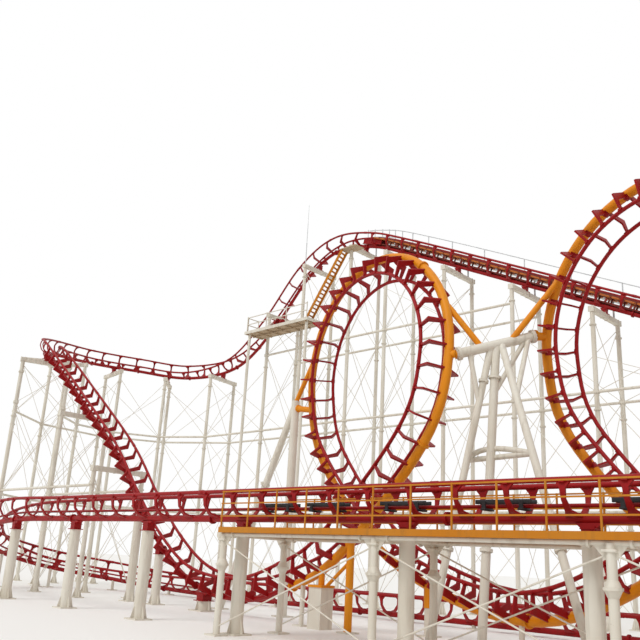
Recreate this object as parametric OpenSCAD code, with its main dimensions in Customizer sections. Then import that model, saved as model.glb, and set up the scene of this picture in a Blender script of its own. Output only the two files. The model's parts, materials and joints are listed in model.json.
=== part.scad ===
// Looping steel roller coaster, half scale: closed circuit on columns, lift, two vertical loops.
// Millimetres, +Z up. The origin is the foot of the centre column between the loops, and the
// straights run along X. Angles are in degrees.

/* [Track] */
// Distance between the centres of the running rails
gauge = 550; // [500:10:600]
// Radius of a running rail
rail_r = 32; // [26:1:36]
// Radius of the spine tube on open track
spine_r = 55; // [48:1:62]
// Radius of the spine tube in the loops
loop_spine_r = 78; // [64:1:84]
// Height of the rail plane over the spine's centre
rail_rise = 380; // [370:5:400]
// Thickness of a tie plate
tie_t = 40; // [30:2:50]
// Spacing of the ties on open track
tie_pitch = 680; // [560:20:800]
// Spacing of the ties round the high turn
turn_tie_pitch = 600; // [560:10:700]
// Spacing of the ties down the second drop
drop_tie_pitch = 450; // [420:10:520]
// Spacing of the ties in the loops
loop_tie_pitch = 360; // [300:20:420]

/* [Loops] */
// Radius of the upper part of a loop
loop_r = 1950; // [1900:10:2000]
// Extra radius at the foot of a loop
loop_foot_r = 6700; // [6500:50:6900]
// Sideways shift between the way in and the way out
loop_shift = 1500; // [1400:20:1600]
// Turn of the loops' planes about the vertical
loop_turn = -8.4; // [-9:0.2:-8]

/* [Columns] */
// Radius of the columns of a portal
portal_r = 55; // [48:1:62]
// Half the distance between the columns of a portal
portal_half = 700; // [660:10:740]
// Side of the square beam over a portal
beam_side = 120; // [112:2:140]
// Radius of the columns under the brake run
brake_r = 100; // [80:2:110]
// Radius of the thick pillars under the low points of the track
pillar_r = 150; // [120:5:170]
// Thickness of a base plate
base_t = 25; // [20:1:30]
// Radius of a bolt hole in a base plate
bolt_hole_r = 11; // [9:1:13]

/* [Walkway] */
// Height of the walkway's deck over the ground
deck_z = 1450; // [1440:5:1455]
// Height of the handrail over the deck
handrail_h = 570; // [500:10:600]
// Spacing of the handrail's posts
post_pitch = 570; // [500:10:640]

/* [Lift] */
// Pitch radius of the chain wheels
wheel_r = 95; // [95:1:96]
// Radius of the wheels' axles
axle_r = 16; // [14:1:18]
// Height of the railing beside the lift
railing_h = 550; // [500:10:600]

/* [Hidden] */
metre = 1000;
deck_t = 30;
rail_sides = 6;
spine_sides = 8;
joint_gap = 0.6;
bracket_r = 42;
bracket_h = 150;
low_post_r = 42;
running_fit = 0.05;

RED = [0.69, 0.06, 0.09];
YELLOW = [0.94, 0.66, 0.09];
WHITE = [0.91, 0.89, 0.84];
ORANGE = [0.85, 0.54, 0.12];
GREY = [0.62, 0.64, 0.66];
STEEL = [0.35, 0.35, 0.36];

// Track knots before the loops: [x, y, z, bank], metres and degrees. The bank leans the rail
// plane towards the right of travel.
KNOTS_OUT = [
    [-10.4, 3.55, 0.5, 0], [-5.4, 3.55, 0.5, 0], [0.6, 3.55, 0.5, 0], [6.6, 3.55, 0.5, 0],
    [11.6, 3.55, 0.5, 0], [15.2, 3.55, 0.5, 0], [16.8, 4.15, 0.5, 0], [17.5, 5.55, 0.5, 0],
    [16.8, 6.95, 0.5, 0], [15.2, 7.55, 0.55, 0], [12.6, 7.55, 1.35, 0], [6.6, 7.55, 4.2, 0],
    [-0.4, 7.55, 7.5, 0], [-6.9, 7.55, 10.6, 0], [-9, 7.55, 11.45, 0], [-10.6, 7.55, 11.6, 0],
    [-12.1, 7.55, 10.9, -5], [-13.8, 7.55, 9.3, -12], [-15.6, 7.5, 8.2, -25], [-17.5, 6.9, 7.9, -40],
    [-18.65, 5.5, 8, -45], [-18.9, 3.8, 7.95, -45], [-18.1, 2.1, 7.75, -40], [-16.75, 0.95, 7.4, -22],
    [-15.3, 0.45, 6.9, -5], [-13, 0.45, 5.3, 0], [-10.8, 0.45, 3.7, 0], [-9.5, 0.45, 2.45, 0],
    [-8.4, 0.45, 1.5, 0], [-7.2, 0.45, 0.85, 0], [-5.6, 0.35, 0.7, 0], [-4.2, 0.15, 1, 0]
];
// The one knot between the loops
KNOTS_MIDDLE = [[0.3, 0.6, 0.8, 0]];
// Track knots after the loops, back to the start
KNOTS_BACK = [
    [6.3, 0.3, 0.7, 0], [7.9, 0.35, 0.95, 0], [9.4, 0.75, 1.5, 0], [11.4, 1.5, 1.95, 20],
    [13.3, 1.3, 2.2, 35], [14.5, -0.1, 2.25, 40], [14.1, -1.7, 2.2, 38], [12.6, -2.5, 2.1, 25],
    [10.8, -2.4, 2.04, 8], [9, -2.25, 2.03, 0], [5, -2.25, 2.03, 0], [1, -2.25, 2.03, 0],
    [-3.5, -2.25, 2.03, 0], [-7.9, -2.25, 2.03, 0], [-10.4, -2.2, 2, 8], [-12.6, -1.8, 1.8, 20],
    [-14.6, -0.6, 1.35, 28], [-15.4, 1.1, 0.95, 28], [-14.5, 2.7, 0.68, 22], [-12.7, 3.45, 0.54, 8]
];
// Centres of the loops in plan, in metres
LOOP_ONE_AT = [-2.72, 0.55];
LOOP_TWO_AT = [2.81, 0.45];
loop_z = 540;
loop_power = 6;
loop_knot_step = 30;

// Sections of the circuit: [first knot, last knot, spine radius, tie spacing, facets along the
// tubes between two knots, spine colour]
STATION = [0, 9, spine_r, tie_pitch, 3, RED];
LIFT = [9, 14, spine_r, tie_pitch, 3, RED];
FIRST_DROP = [14, 18, spine_r, tie_pitch, 3, RED];
HIGH_TURN = [18, 24, spine_r, turn_tie_pitch, 3, RED];
SECOND_DROP = [24, 31, spine_r, drop_tie_pitch, 3, RED];
LOOP_ONE = [31, 43, loop_spine_r, loop_tie_pitch, 4, YELLOW];
LOOP_TWO = [43, 55, loop_spine_r, loop_tie_pitch, 4, YELLOW];
RETURN_TURN = [55, 64, spine_r, tie_pitch, 3, RED];
BRAKE_RUN = [64, 69, spine_r, tie_pitch, 3, RED];
LOW_TURN = [69, 75, spine_r, tie_pitch, 3, RED];

// A tie's outline, [across, up] from the rail plane's centre, half of it from rail to spine
TIE_INSIDE = [[300, 10], [250, 10], [262, -180], [50, -320]];
TIE_OUTSIDE = [[50, -410], [320, -230]];

// Places of the supports as knot numbers along the circuit
CREST_PORTALS = [14.05, 15.6];
TURN_PORTALS = [16.7, 18.3, 19.4, 20.5, 21.6, 22.7, 23.7, 25.1, 26.1];
LOW_POSTS = [0.5, 1.5, 2.5, 3.5, 4.5, 5.6, 6.5, 7.5, 8.5, 31.3, 43, 54.5,
             69.5, 70.4, 71.3, 72.2, 73.1, 74.1];
BRAKE_COLUMNS = [64.3, 64.9, 65.56, 66.14, 66.83, 67.38, 67.96, 68.95];
// Single columns: [knot number, radius]
SINGLE_COLUMNS = concat(
    [for (s = [27, 27.9]) [s, brake_r]],
    [for (s = [29.2, 55.6]) [s, pillar_r]],
    [for (s = [57.2, 58.3, 59.4, 60.4, 61.4, 62.4, 63.3]) [s, brake_r]],
    [for (s = BRAKE_COLUMNS) [s, brake_r]]
);

function unit(v) = v / norm(v);
function flat(v) = [v.x, v.y, 0];
function loop_radius(phi) = loop_r + loop_foot_r * pow((1 + cos(phi)) / 2, loop_power);

// The loop's curve in its own plane, one point for each step of its angle
loop_fine = 5;
loop_slice = loop_fine * PI / 180;
LOOP_CURVE = [
    for (k = 0, x = 0, z = 0; k <= 360 / loop_fine;
         phi = (k + 0.5) * loop_fine,
         x = x + loop_radius(phi) * cos(phi) * loop_slice,
         z = z + loop_radius(phi) * sin(phi) * loop_slice,
         k = k + 1) [x, z]
];
loop_mid_x = LOOP_CURVE[len(LOOP_CURVE) - 1].x / 2;

function turned(v) = [
    v.x * cos(loop_turn) - v.y * sin(loop_turn),
    v.x * sin(loop_turn) + v.y * cos(loop_turn),
    v.z
];
function loop_knot(centre, phi) =
    let (c = LOOP_CURVE[phi / loop_fine])
    concat(centre * metre, [loop_z])
    + turned([c.x - loop_mid_x, loop_shift * (phi / 360 - 0.5), c.y]);
function loop_up(phi) = turned([-sin(phi), 0, cos(phi)]);

LOOP_ANGLES = [for (phi = [loop_knot_step : loop_knot_step : 360 - loop_knot_step]) phi];
function places(knots) = [for (k = knots) [k.x, k.y, k.z] * metre];
POINTS = concat(
    places(KNOTS_OUT), [for (phi = LOOP_ANGLES) loop_knot(LOOP_ONE_AT, phi)],
    places(KNOTS_MIDDLE), [for (phi = LOOP_ANGLES) loop_knot(LOOP_TWO_AT, phi)],
    places(KNOTS_BACK)
);
count = len(POINTS);

// The up direction at each knot: from its bank, or from the loop's own angle
function leaning(i, bank) =
    let (
        along = unit(POINTS[(i + 1) % count] - POINTS[(i + count - 1) % count]),
        side = unit(cross(along, [0, 0, 1]))
    )
    cross(side, along) * cos(bank) + side * sin(bank);
function leanings(first, knots) = [for (k = [0 : len(knots) - 1]) leaning(first + k, knots[k][3])];
LOOP_UPS = [for (phi = LOOP_ANGLES) loop_up(phi)];
middle_knot = len(KNOTS_OUT) + len(LOOP_ANGLES);
back_knot = middle_knot + 1 + len(LOOP_ANGLES);
UPS = concat(
    leanings(0, KNOTS_OUT), LOOP_UPS, leanings(middle_knot, KNOTS_MIDDLE), LOOP_UPS,
    leanings(back_knot, KNOTS_BACK)
);

// A smooth curve through the knots, s counting knots, and its slope
function knot(list, i) = list[(i + count) % count];
function spline(list, s) =
    let (
        i = floor(s), t = s - i,
        a = knot(list, i - 1), b = knot(list, i), c = knot(list, i + 1), d = knot(list, i + 2)
    )
    (2 * b + (c - a) * t + (2 * a - 5 * b + 4 * c - d) * t * t
        + (3 * b - a - 3 * c + d) * t * t * t) / 2;
function slope(list, s) =
    let (
        i = floor(s), t = s - i,
        a = knot(list, i - 1), b = knot(list, i), c = knot(list, i + 1), d = knot(list, i + 2)
    )
    ((c - a) + 2 * (2 * a - 5 * b + 4 * c - d) * t + 3 * (3 * b - a - 3 * c + d) * t * t) / 2;

// The track at s: [place, along, right, up]
function track(s) =
    let (
        along = unit(slope(POINTS, s)),
        hint = spline(UPS, s),
        up = unit(hint - (hint * along) * along)
    )
    [spline(POINTS, s), along, cross(along, up), up];
function spine_at(s) = let (f = track(s)) f[0] - f[3] * rail_rise;
function heading(s) = let (a = track(s)[1]) atan2(a.y, a.x);
function beam_top(s) = spine_at(s).z - spine_r - bracket_h;

// The lift's portals, evenly spaced along X from its foot
lift_portal_x = 11800;
lift_portal_pitch = 2150;
lift_portal_count = 10;
LIFT_BY_X = [for (s = [14 : -0.125 : 9.5]) [spline(POINTS, s).x, s]];
LIFT_PORTALS = [
    for (k = [0 : lift_portal_count - 1]) lookup(lift_portal_x - k * lift_portal_pitch, LIFT_BY_X)
];

// Distance along the circuit at a fine step, to place the ties evenly
fine_steps = 8;
TRAVEL = [
    for (k = 0, gone = 0; k <= count * fine_steps;
         gone = gone + norm(spline(POINTS, (k + 1) / fine_steps) - spline(POINTS, k / fine_steps)),
         k = k + 1) [k / fine_steps, gone]
];
TRAVEL_BACK = [for (t = TRAVEL) [t[1], t[0]]];
function tie_places(section) =
    let (
        from = lookup(section[0], TRAVEL), to = lookup(section[1], TRAVEL),
        ties = round((to - from) / section[3])
    )
    [for (k = [0 : ties - 1]) lookup(from + (k + 0.5) * (to - from) / ties, TRAVEL_BACK)];

// One length of tube along the track, its centre at [across, up] from the rail plane's centre
module tube(from, to, across, rise, r, sides, steps) {
    rings = [
        for (j = [0 : steps])
            let (f = track(from + (to - from) * j / steps), c = f[0] + across * f[2] + rise * f[3])
            for (k = [0 : sides - 1])
                c + r * (cos(360 * k / sides) * f[2] + sin(360 * k / sides) * f[3])
    ];
    walls = [
        for (j = [0 : steps - 1], k = [0 : sides - 1])
            let (a = j * sides + k, b = j * sides + (k + 1) % sides, c = b + sides, d = a + sides)
            each [[a, b, c], [a, c, d]]
    ];
    start = [for (k = [sides - 1 : -1 : 0]) k];
    end = [for (k = [0 : sides - 1]) steps * sides + k];
    polyhedron(rings, concat(walls, [start, end]));
}

// The lengths between the knots of a section, with a small joint between each two
module run(section, across, rise, r, sides) {
    for (i = [section[0] : section[1] - 1]) {
        straight = norm(cross(track(i)[1], track(i + 0.5)[1])) < 0.002
            && norm(cross(track(i)[1], track(i + 1)[1])) < 0.002;
        start_gap = joint_gap / 2 / norm(slope(POINTS, i));
        end_gap = joint_gap / 2 / norm(slope(POINTS, i + 1));
        tube(i + start_gap, i + 1 - end_gap, across, rise, r, sides, straight ? 1 : section[4]);
    }
}

module section_rails(section) {
    color(RED)
    for (side = [-1, 1]) run(section, side * gauge / 2, 0, rail_r, rail_sides);
}

module section_spine(section) {
    color(section[5])
    run(section, 0, -rail_rise, section[2], spine_sides);
}

function mirrored(points) = [for (k = [len(points) - 1 : -1 : 0]) [-points[k].x, points[k].y]];
module section_ties(section) {
    outline = concat(TIE_INSIDE, mirrored(TIE_INSIDE), mirrored(TIE_OUTSIDE), TIE_OUTSIDE);
    color(RED)
    for (s = tie_places(section)) at_track(s)
        linear_extrude(tie_t, center = true) polygon(outline);
}

// Children in the track's own axes: X right of travel, Y up from the rail plane
module at_track(s) {
    f = track(s);
    multmatrix([
        [f[2].x, f[3].x, -f[1].x, f[0].x],
        [f[2].y, f[3].y, -f[1].y, f[0].y],
        [f[2].z, f[3].z, -f[1].z, f[0].z],
        [0, 0, 0, 1]
    ]) children();
}

// A round bar between two points
module rod(a, b, r) {
    d = b - a;
    translate(a)
    rotate([0, acos(d.z / norm(d)), atan2(d.y, d.x)]) rotate([0, 0, 45])
        cylinder(h = norm(d), r = r);
}

// A column from inside its base plate up to its top
module column(at, top, r) {
    translate([at.x, at.y, base_t / 2]) cylinder(h = top - base_t / 2, r = r);
}

// The feet of a portal's two columns on the ground
function portal_feet(s) =
    let (at = spine_at(s), a = heading(s))
    [for (y = [-portal_half, portal_half]) [at.x - y * sin(a), at.y + y * cos(a)]];

module portal_columns(places) {
    for (s = places, foot = portal_feet(s)) column(foot, beam_top(s) - beam_side / 2, portal_r);
}

module lift_columns() color(WHITE) portal_columns(LIFT_PORTALS);
module turn_columns() color(WHITE) portal_columns(TURN_PORTALS);
module crest_columns() {
    color(WHITE) {
        portal_columns(CREST_PORTALS);
        for (foot = platform_feet) column(foot, platform_z - 30, platform_leg_r);
    }
}

// The beams over the portals' columns, square to the track
module portal_beams() {
    color(WHITE)
    for (s = concat(LIFT_PORTALS, CREST_PORTALS, TURN_PORTALS)) {
        at = spine_at(s);
        translate([at.x, at.y, beam_top(s) - beam_side]) rotate([0, 0, heading(s)])
        translate([-beam_side / 2, -portal_half - beam_side / 2, 0])
            cube([beam_side, 2 * portal_half + beam_side, beam_side]);
    }
}

// Single columns: under the brake run and the turns, thick under the valleys, low by the ground
module single_columns() {
    color(WHITE) {
        for (c = SINGLE_COLUMNS) column(spine_at(c[0]), beam_top(c[0]), c[1]);
        for (s = LOW_POSTS) column(spine_at(s), spine_at(s).z, low_post_r);
        translate([valley_pier.x, valley_pier.y, 0]) upright_block(valley_pier_half, valley_pier_top);
        column(spine_at(valley_stub_s), valley_stub_from + valley_lap, valley_pillar_r);
    }
}

// A square block on the ground, half as wide as given
module upright_block(half, height) {
    translate([-half, -half, 0]) cube([2 * half, 2 * half, height]);
}

// Yellow posts under the first loop's low ends, on a pier, on the ground and on a short pillar
valley_pier_s = 31.7;
valley_pier_half = 150;
valley_pier_top = 680;
valley_cap_half = 165;
valley_cap_t = 40;
valley_lap = 10;
valley_post_s = 32.15;
valley_post_r = 65;
valley_short_r = 55;
valley_brace_r = 30;
valley_brace_top = 1120;
valley_stub_s = 42.36;
valley_stub_from = 450;
valley_stub_r = 92;
valley_pillar_r = 80;
valley_pier = spine_at(valley_pier_s);
module valley_posts() {
    post = spine_at(valley_post_s);
    stub = spine_at(valley_stub_s);
    cap_z = valley_pier_top - valley_lap;
    color(YELLOW) {
        column(post, post.z, valley_post_r);
        translate([valley_pier.x, valley_pier.y, cap_z]) {
            upright_block(valley_cap_half, valley_cap_t);
            cylinder(h = valley_pier.z - cap_z, r = valley_short_r);
        }
        rod([valley_pier.x + valley_pier_half - valley_brace_r, valley_pier.y, cap_z + valley_cap_t / 2],
            [post.x, post.y, valley_brace_top], valley_brace_r);
        translate([stub.x, stub.y, valley_stub_from]) cylinder(h = stub.z - valley_stub_from, r = valley_stub_r);
    }
}

// Brackets from the beams and columns up into the spine
module track_brackets() {
    color(RED)
    for (s = concat(LIFT_PORTALS, CREST_PORTALS, TURN_PORTALS, [for (c = SINGLE_COLUMNS) c[0]])) {
        at = spine_at(s);
        translate([at.x, at.y, beam_top(s) - 10])
            cylinder(h = at.z - beam_top(s) + 10, r = bracket_r);
    }
}

// Every column's base plate on the ground, with a bolt hole at each corner
plate_rim = 70;
bolt_rim = 35;
module base_plate(at, r) {
    half = r + plate_rim;
    hole = r + bolt_rim;
    translate([at.x, at.y, 0])
    difference() {
        translate([-half, -half, 0]) cube([2 * half, 2 * half, base_t]);
        for (x = [-hole, hole], y = [-hole, hole])
            translate([x, y, -1]) cylinder(h = base_t + 2, r = bolt_hole_r);
    }
}
module base_plates() {
    color(WHITE) {
        for (s = concat(LIFT_PORTALS, CREST_PORTALS, TURN_PORTALS), foot = portal_feet(s))
            base_plate(foot, portal_r);
        for (c = SINGLE_COLUMNS) base_plate(spine_at(c[0]), c[1]);
        for (s = LOW_POSTS) base_plate(spine_at(s), low_post_r);
        base_plate(spine_at(valley_post_s), valley_post_r);
        base_plate(spine_at(valley_stub_s), valley_pillar_r);
        for (foot = platform_feet) base_plate(foot, platform_leg_r);
        for (foot = tower_feet) base_plate(foot, tower_plate_r);
        for (f = SIDE_FRAMES) {
            base_plate(f[0], side_r);
            base_plate([f[0].x + f[1], f[0].y], side_leg_r);
        }
        for (x = walk_columns, y = [walk_front_beam, walk_back_beam]) base_plate([x, y], walk_column_r);
    }
}

// Level pipes between neighbouring portals, one pair for each storey
storey = 2600;
top_storey = 3;
strut_r = 34;
strut_short = 25;
module portal_struts() {
    portals = concat(LIFT_PORTALS, CREST_PORTALS, TURN_PORTALS);
    color(WHITE)
    for (k = [0 : len(portals) - 2]) {
        low_beam = min(beam_top(portals[k]), beam_top(portals[k + 1])) - beam_side;
        storeys = min(top_storey, floor(low_beam / storey));
        if (storeys >= 1)
            for (level = [1 : storeys], side = [0, 1]) {
                a = portal_feet(portals[k])[side];
                b = portal_feet(portals[k + 1])[side];
                short = strut_short * unit(b - a);
                rod([a.x + short.x, a.y + short.y, level * storey],
                    [b.x - short.x, b.y - short.y, level * storey], strut_r);
            }
    }
}

// Between the loops a tube stands on three legs; a frame holds each loop from outside
tower_r = 68;
tower_plate_r = 90;
tower_tube_r = 80;
tower_left = [-330, -140, 4370];
tower_right = [480, 910, 4800];
tower_mid = (tower_left + tower_right) / 2;
tower_feet = [[0, 0], [-520, -580], [2100, -850]];
tower_side_r = 56;
leg_spread = [60, 60, 30];
branch_r = 40;
cross_pipe_r = 36;
branch_meets = 0.79;
cross_meets = 0.6;
centre_meets = [0.6, 0.62];
centre_off = [40, 0, 0];
tube_end_in = 0.08;
side_leg_under = [0, 0, 60];
side_r = 88;
side_leg_r = 74;
// Frames beside the loops: [head, reach of the leaning leg along X]
SIDE_FRAMES = [[[-5500, 1300, 4400], -2000], [[5680, -500, 4000], 1850]];
function on_leg(foot, top, part) = let (f = [foot.x, foot.y, 0]) f + (top - f) * part;

// A leaning leg, cut level inside its base plate
module leg(foot, top, r) {
    difference() {
        rod([foot.x, foot.y, 0], top, r);
        translate([foot.x - 2 * r, foot.y - 2 * r, -2 * r]) cube([4 * r, 4 * r, 2 * r + base_t / 2]);
    }
}

module loop_uprights() {
    color(WHITE) {
        leg(tower_feet[0], tower_mid, tower_r);
        leg(tower_feet[1], tower_mid - leg_spread, tower_side_r);
        leg(tower_feet[2], tower_mid + leg_spread, tower_side_r);
        for (f = SIDE_FRAMES) column(f[0], f[0].z, side_r);
    }
}

module tower_tube() color(WHITE) rod(tower_left, tower_right, tower_tube_r);

// Branches from the tube's ends to the outer legs, cross pipes, and the leaning side legs
module loop_braces() {
    left = [tower_feet[1], tower_mid - leg_spread];
    right = [tower_feet[2], tower_mid + leg_spread];
    end_in = (tower_right - tower_left) * tube_end_in;
    color(WHITE) {
        rod(tower_left + end_in, on_leg(left[0], left[1], branch_meets), branch_r);
        rod(tower_right - end_in, on_leg(right[0], right[1], branch_meets), branch_r);
        rod(on_leg(left[0], left[1], cross_meets),
            on_leg(tower_feet[0], tower_mid, centre_meets[0]) - centre_off, cross_pipe_r);
        rod(on_leg(right[0], right[1], cross_meets),
            on_leg(tower_feet[0], tower_mid, centre_meets[1]) + centre_off, cross_pipe_r);
        for (f = SIDE_FRAMES) leg([f[0].x + f[1], f[0].y], f[0] - side_leg_under, side_leg_r);
    }
}

// The yellow struts from the loops' spines to the tube and to the side frames
strut_thick = 62;
strut_thin = 50;
first_loop_knot = 31;
second_loop_knot = 43;
function on_loop(first, phi) = spine_at(first + phi / loop_knot_step);
frame_left = SIDE_FRAMES[0][0];
frame_right = SIDE_FRAMES[1][0];
// Struts: [first knot of the loop, loop angle, end at the tube or frame, radius]
LOOP_STRUTS = [
    [first_loop_knot, 90, tower_left + [40, 40, 20], strut_thick],
    [second_loop_knot, 260, tower_right - [40, 40, 20], strut_thick],
    [first_loop_knot, 114, tower_mid - [150, 170, 75], strut_thin],
    [second_loop_knot, 236, tower_mid + [150, 190, 85], strut_thin],
    [first_loop_knot, 276, frame_left + [50, 0, -170], strut_thick],
    [first_loop_knot, 250, frame_left + [20, 0, -10], strut_thin],
    [second_loop_knot, 84, frame_right + [-50, 0, -170], strut_thick],
    [second_loop_knot, 110, frame_right + [-20, 0, -10], strut_thin]
];
module loop_struts() {
    color(YELLOW)
    for (s = LOOP_STRUTS) rod(on_loop(s[0], s[1]), s[2], s[3]);
}

// The walkway beside the brake run: two strips of deck with the columns between them
walk_from = -2770;
walk_to = 9000;
walk_front = [-2700, -2400];
walk_back = [-2060, -1320];
toe_h = 50;
toe_t = 12;
module walkway_deck() {
    length = walk_to - walk_from;
    color(ORANGE) {
        for (strip = [walk_front, walk_back])
            translate([walk_from, strip[0], deck_z - deck_t])
                cube([length, strip[1] - strip[0], deck_t]);
        for (y = [walk_front[0] - toe_t + 2, walk_back[1] - 2])
            translate([walk_from, y, deck_z - deck_t - 1]) cube([length, toe_t, deck_t + toe_h]);
    }
}

bar = 24;
post_r = 16;
hand_bar = 18;
hand_post_r = 13;
rail_levels = [0.36, 0.68, 0.98];
module walkway_handrail() {
    posts = floor((walk_to - walk_from - 2 * hand_post_r) / post_pitch);
    step = (walk_to - walk_from - 4 * hand_post_r) / posts;
    color(ORANGE)
    for (y = [walk_front[0] + hand_post_r + 4, walk_back[1] - hand_post_r - 4]) {
        for (k = [0 : posts])
            translate([walk_from + 2 * hand_post_r + k * step, y, deck_z - 5])
                cylinder(h = handrail_h + 5, r = hand_post_r);
        for (h = rail_levels)
            translate([walk_from, y - hand_bar / 2, deck_z + h * handrail_h - hand_bar / 2])
                cube([walk_to - walk_from, hand_bar, hand_bar]);
    }
}

// Pipe beams under the deck on two rows of columns with double cones, and cross pipes over them
walk_beam_r = 28;
walk_column_r = 51;
walk_columns = [-2720, 180, 3165, 6150, 8850];
walk_beam_z = deck_z - deck_t - walk_beam_r + 4;
walk_front_beam = walk_front[0] + 80;
walk_back_beam = walk_back[1] - 80;
cone_at = 970;
cone_h = 70;
cone_rim = 36;
module walkway_beams() {
    color(WHITE)
    for (y = [walk_front_beam, walk_back_beam])
        translate([walk_from + 20, y, walk_beam_z])
        rotate([0, 90, 0]) cylinder(h = walk_to - walk_from - 40, r = walk_beam_r);
}
module walkway_frame() {
    color(WHITE) {
        for (x = walk_columns, y = [walk_front_beam, walk_back_beam]) {
            column([x, y], walk_beam_z, walk_column_r);
            for (up = [0, 1])
                translate([x, y, cone_at]) mirror([0, 0, up])
                    cylinder(h = cone_h, r1 = walk_column_r + cone_rim, r2 = walk_column_r - 1);
        }
        for (x = concat(walk_columns, [for (s = BRAKE_COLUMNS) spine_at(s).x]))
            if (x > walk_from && x < walk_to)
                translate([x, walk_front_beam, walk_beam_z]) rotate([-90, 0, 0])
                    cylinder(h = walk_back_beam - walk_front_beam, r = walk_beam_r - 6);
    }
}

// The drive platform under the crest, and the landing at the stair's head
platform_x = [-13350, -10350];
platform_y = [6150, 6900];
platform_z = 8500;
platform_t = 60;
platform_leg_r = 48;
platform_feet = [for (x = [platform_x[0] + 120, platform_x[1] - 120]) [x, platform_y[0] + 120]];
landing = [700, 420, 30];
module motor_platform() {
    color([0.8, 0.7, 0.55]) {
        translate([platform_x[0], platform_y[0], platform_z - platform_t])
            cube([platform_x[1] - platform_x[0], platform_y[1] - platform_y[0], platform_t]);
        translate([stair_head.x - 60, stair_head.y - 190, stair_head.z - landing.z]) cube(landing);
    }
}

// Railing along the front and at the end away from the stair
railing_levels = [0.48, 0.93];
module railing_side(length, posts) {
    step = (length - 2 * post_r) / (posts - 1);
    for (k = [0 : posts - 1])
        translate([post_r + k * step, 0, -5]) cylinder(h = railing_h, r = post_r);
    for (h = railing_levels)
        translate([0, -bar / 2, h * railing_h - bar / 2]) cube([length, bar, bar]);
}
module platform_railing() {
    rim = 40;
    length = platform_x[1] - platform_x[0] - 2 * rim;
    depth = platform_y[1] - platform_y[0] - 260;
    color(WHITE) {
        translate([platform_x[0] + rim, platform_y[0] + rim, platform_z]) railing_side(length, 4);
        translate([platform_x[0] + rim, platform_y[0] + rim + 30, platform_z]) rotate([0, 0, 90])
            railing_side(depth, 2);
    }
}

motor_at = [platform_x[0] + 1350, platform_y[0] + 330, platform_z - 4];
motor_skid = [380, 300, 60];
motor_r = 110;
motor_axis_z = 200;
motor_foot = [200, 160, 120];
module drive_motor() {
    color(RED) translate(motor_at) {
        translate([-motor_skid.x / 2, -motor_skid.y / 2, 0]) cube(motor_skid);
        translate([-130, 0, motor_axis_z]) rotate([0, 90, 0]) cylinder(h = 300, r = motor_r);
        translate([-motor_r, -motor_foot.y / 2, motor_skid.z - 20]) cube(motor_foot);
        translate([160, 0, motor_axis_z]) rotate([0, 90, 0]) cylinder(h = 60, r = motor_r / 2);
    }
}

// The steep stair from the platform to the landing beside the crest
stair_foot = [-10600, 6450, 8550];
stair_head = [-9400, 6750, 10750];
stair_half = 150;
stair_treads = 18;
stringer_t = 16;
stringer_half = 50;
tread_t = 12;
module crest_stair() {
    up = stair_head - stair_foot;
    run_x = norm(flat(up));
    low = platform_z - stair_foot.z - 20;
    side = [[-stringer_half, low], [stringer_half, low],
            [run_x + stringer_half, up.z - tread_t], [run_x - stringer_half, up.z - tread_t]];
    color(ORANGE)
    translate(stair_foot) rotate([0, 0, atan2(up.y, up.x)]) {
        for (y = [-stair_half, stair_half + stringer_t])
            translate([0, y, 0]) rotate([90, 0, 0]) linear_extrude(stringer_t) polygon(side);
        for (k = [1 : stair_treads], part = k / (stair_treads + 1))
            translate([part * run_x - 40, -stair_half - 2, part * up.z])
                cube([80, 2 * stair_half + 4, tread_t]);
    }
}

// A slender rod on the column's head: [height of a length's top, radius]
MAST = [[800, 16], [1550, 11], [2250, 7]];
module lightning_rod() {
    at = spine_at(CREST_PORTALS[1]);
    a = heading(CREST_PORTALS[1]);
    foot = [at.x - portal_half * sin(a), at.y + portal_half * cos(a), beam_top(CREST_PORTALS[1]) - 20];
    color(GREY)
    for (part = MAST) translate(foot) cylinder(h = part[0], r = part[1]);
}

// Shapes that follow the lift in its own upright plane: between two heights over the rail plane
lift_y = 7550;
function lift_line(from, to, rise, n) = [
    for (k = [0 : n]) let (f = track(from + (to - from) * k / n), p = f[0] + f[3] * rise) [p.x, p.z]
];
module lift_band(from, to, low, high, y0, y1) {
    n = ceil((to - from) * 8);
    low_line = lift_line(from, to, low, n);
    high_line = lift_line(from, to, high, n);
    translate([0, y1, 0]) rotate([90, 0, 0]) linear_extrude(y1 - y0)
        polygon(concat(high_line, [for (k = [n : -1 : 0]) low_line[k]]));
}

// A stretch of the lift in lengths between whole knots, with a small joint between each two
function lift_lengths(from, to) =
    let (ends = concat([from], [for (i = [ceil(from) : ceil(to) - 1]) i], [to]))
    [for (k = [0 : len(ends) - 2])
        [ends[k] + (k == 0 ? 0 : 0.002), ends[k + 1] - (k == len(ends) - 2 ? 0 : 0.002)]];

// The chain's middle lines are one wheel radius over and under the wheels' centres
tail_s = 10.05;
head_s = 13.85;
chain_half = 18.5;
trough_wall = 10;
trough_half = 70;
trough_sunk = 0.5;
over_spine = 1.5;
wheel_rise = -rail_rise + spine_r + over_spine + trough_wall + chain_half + wheel_r;
clear_of_wheel = 0.12;
module lift_trough() {
    from = tail_s + clear_of_wheel;
    to = head_s - clear_of_wheel;
    web_top = wheel_rise + wheel_r - chain_half + trough_sunk;
    floor_top = wheel_rise - wheel_r - chain_half + trough_sunk;
    rim_top = web_top + 60;
    inner = trough_half - trough_wall;
    color([0.62, 0.36, 0.16])
    for (piece = lift_lengths(from, to)) difference() {
        lift_band(piece[0], piece[1], floor_top - trough_wall, rim_top,
                  lift_y - trough_half, lift_y + trough_half);
        lift_band(piece[0] - 0.02, piece[1] + 0.02, web_top, rim_top + 10,
                  lift_y - inner, lift_y + inner);
        lift_band(piece[0] - 0.02, piece[1] + 0.02, floor_top, web_top - trough_wall,
                  lift_y - inner, lift_y + inner);
    }
}

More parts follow.
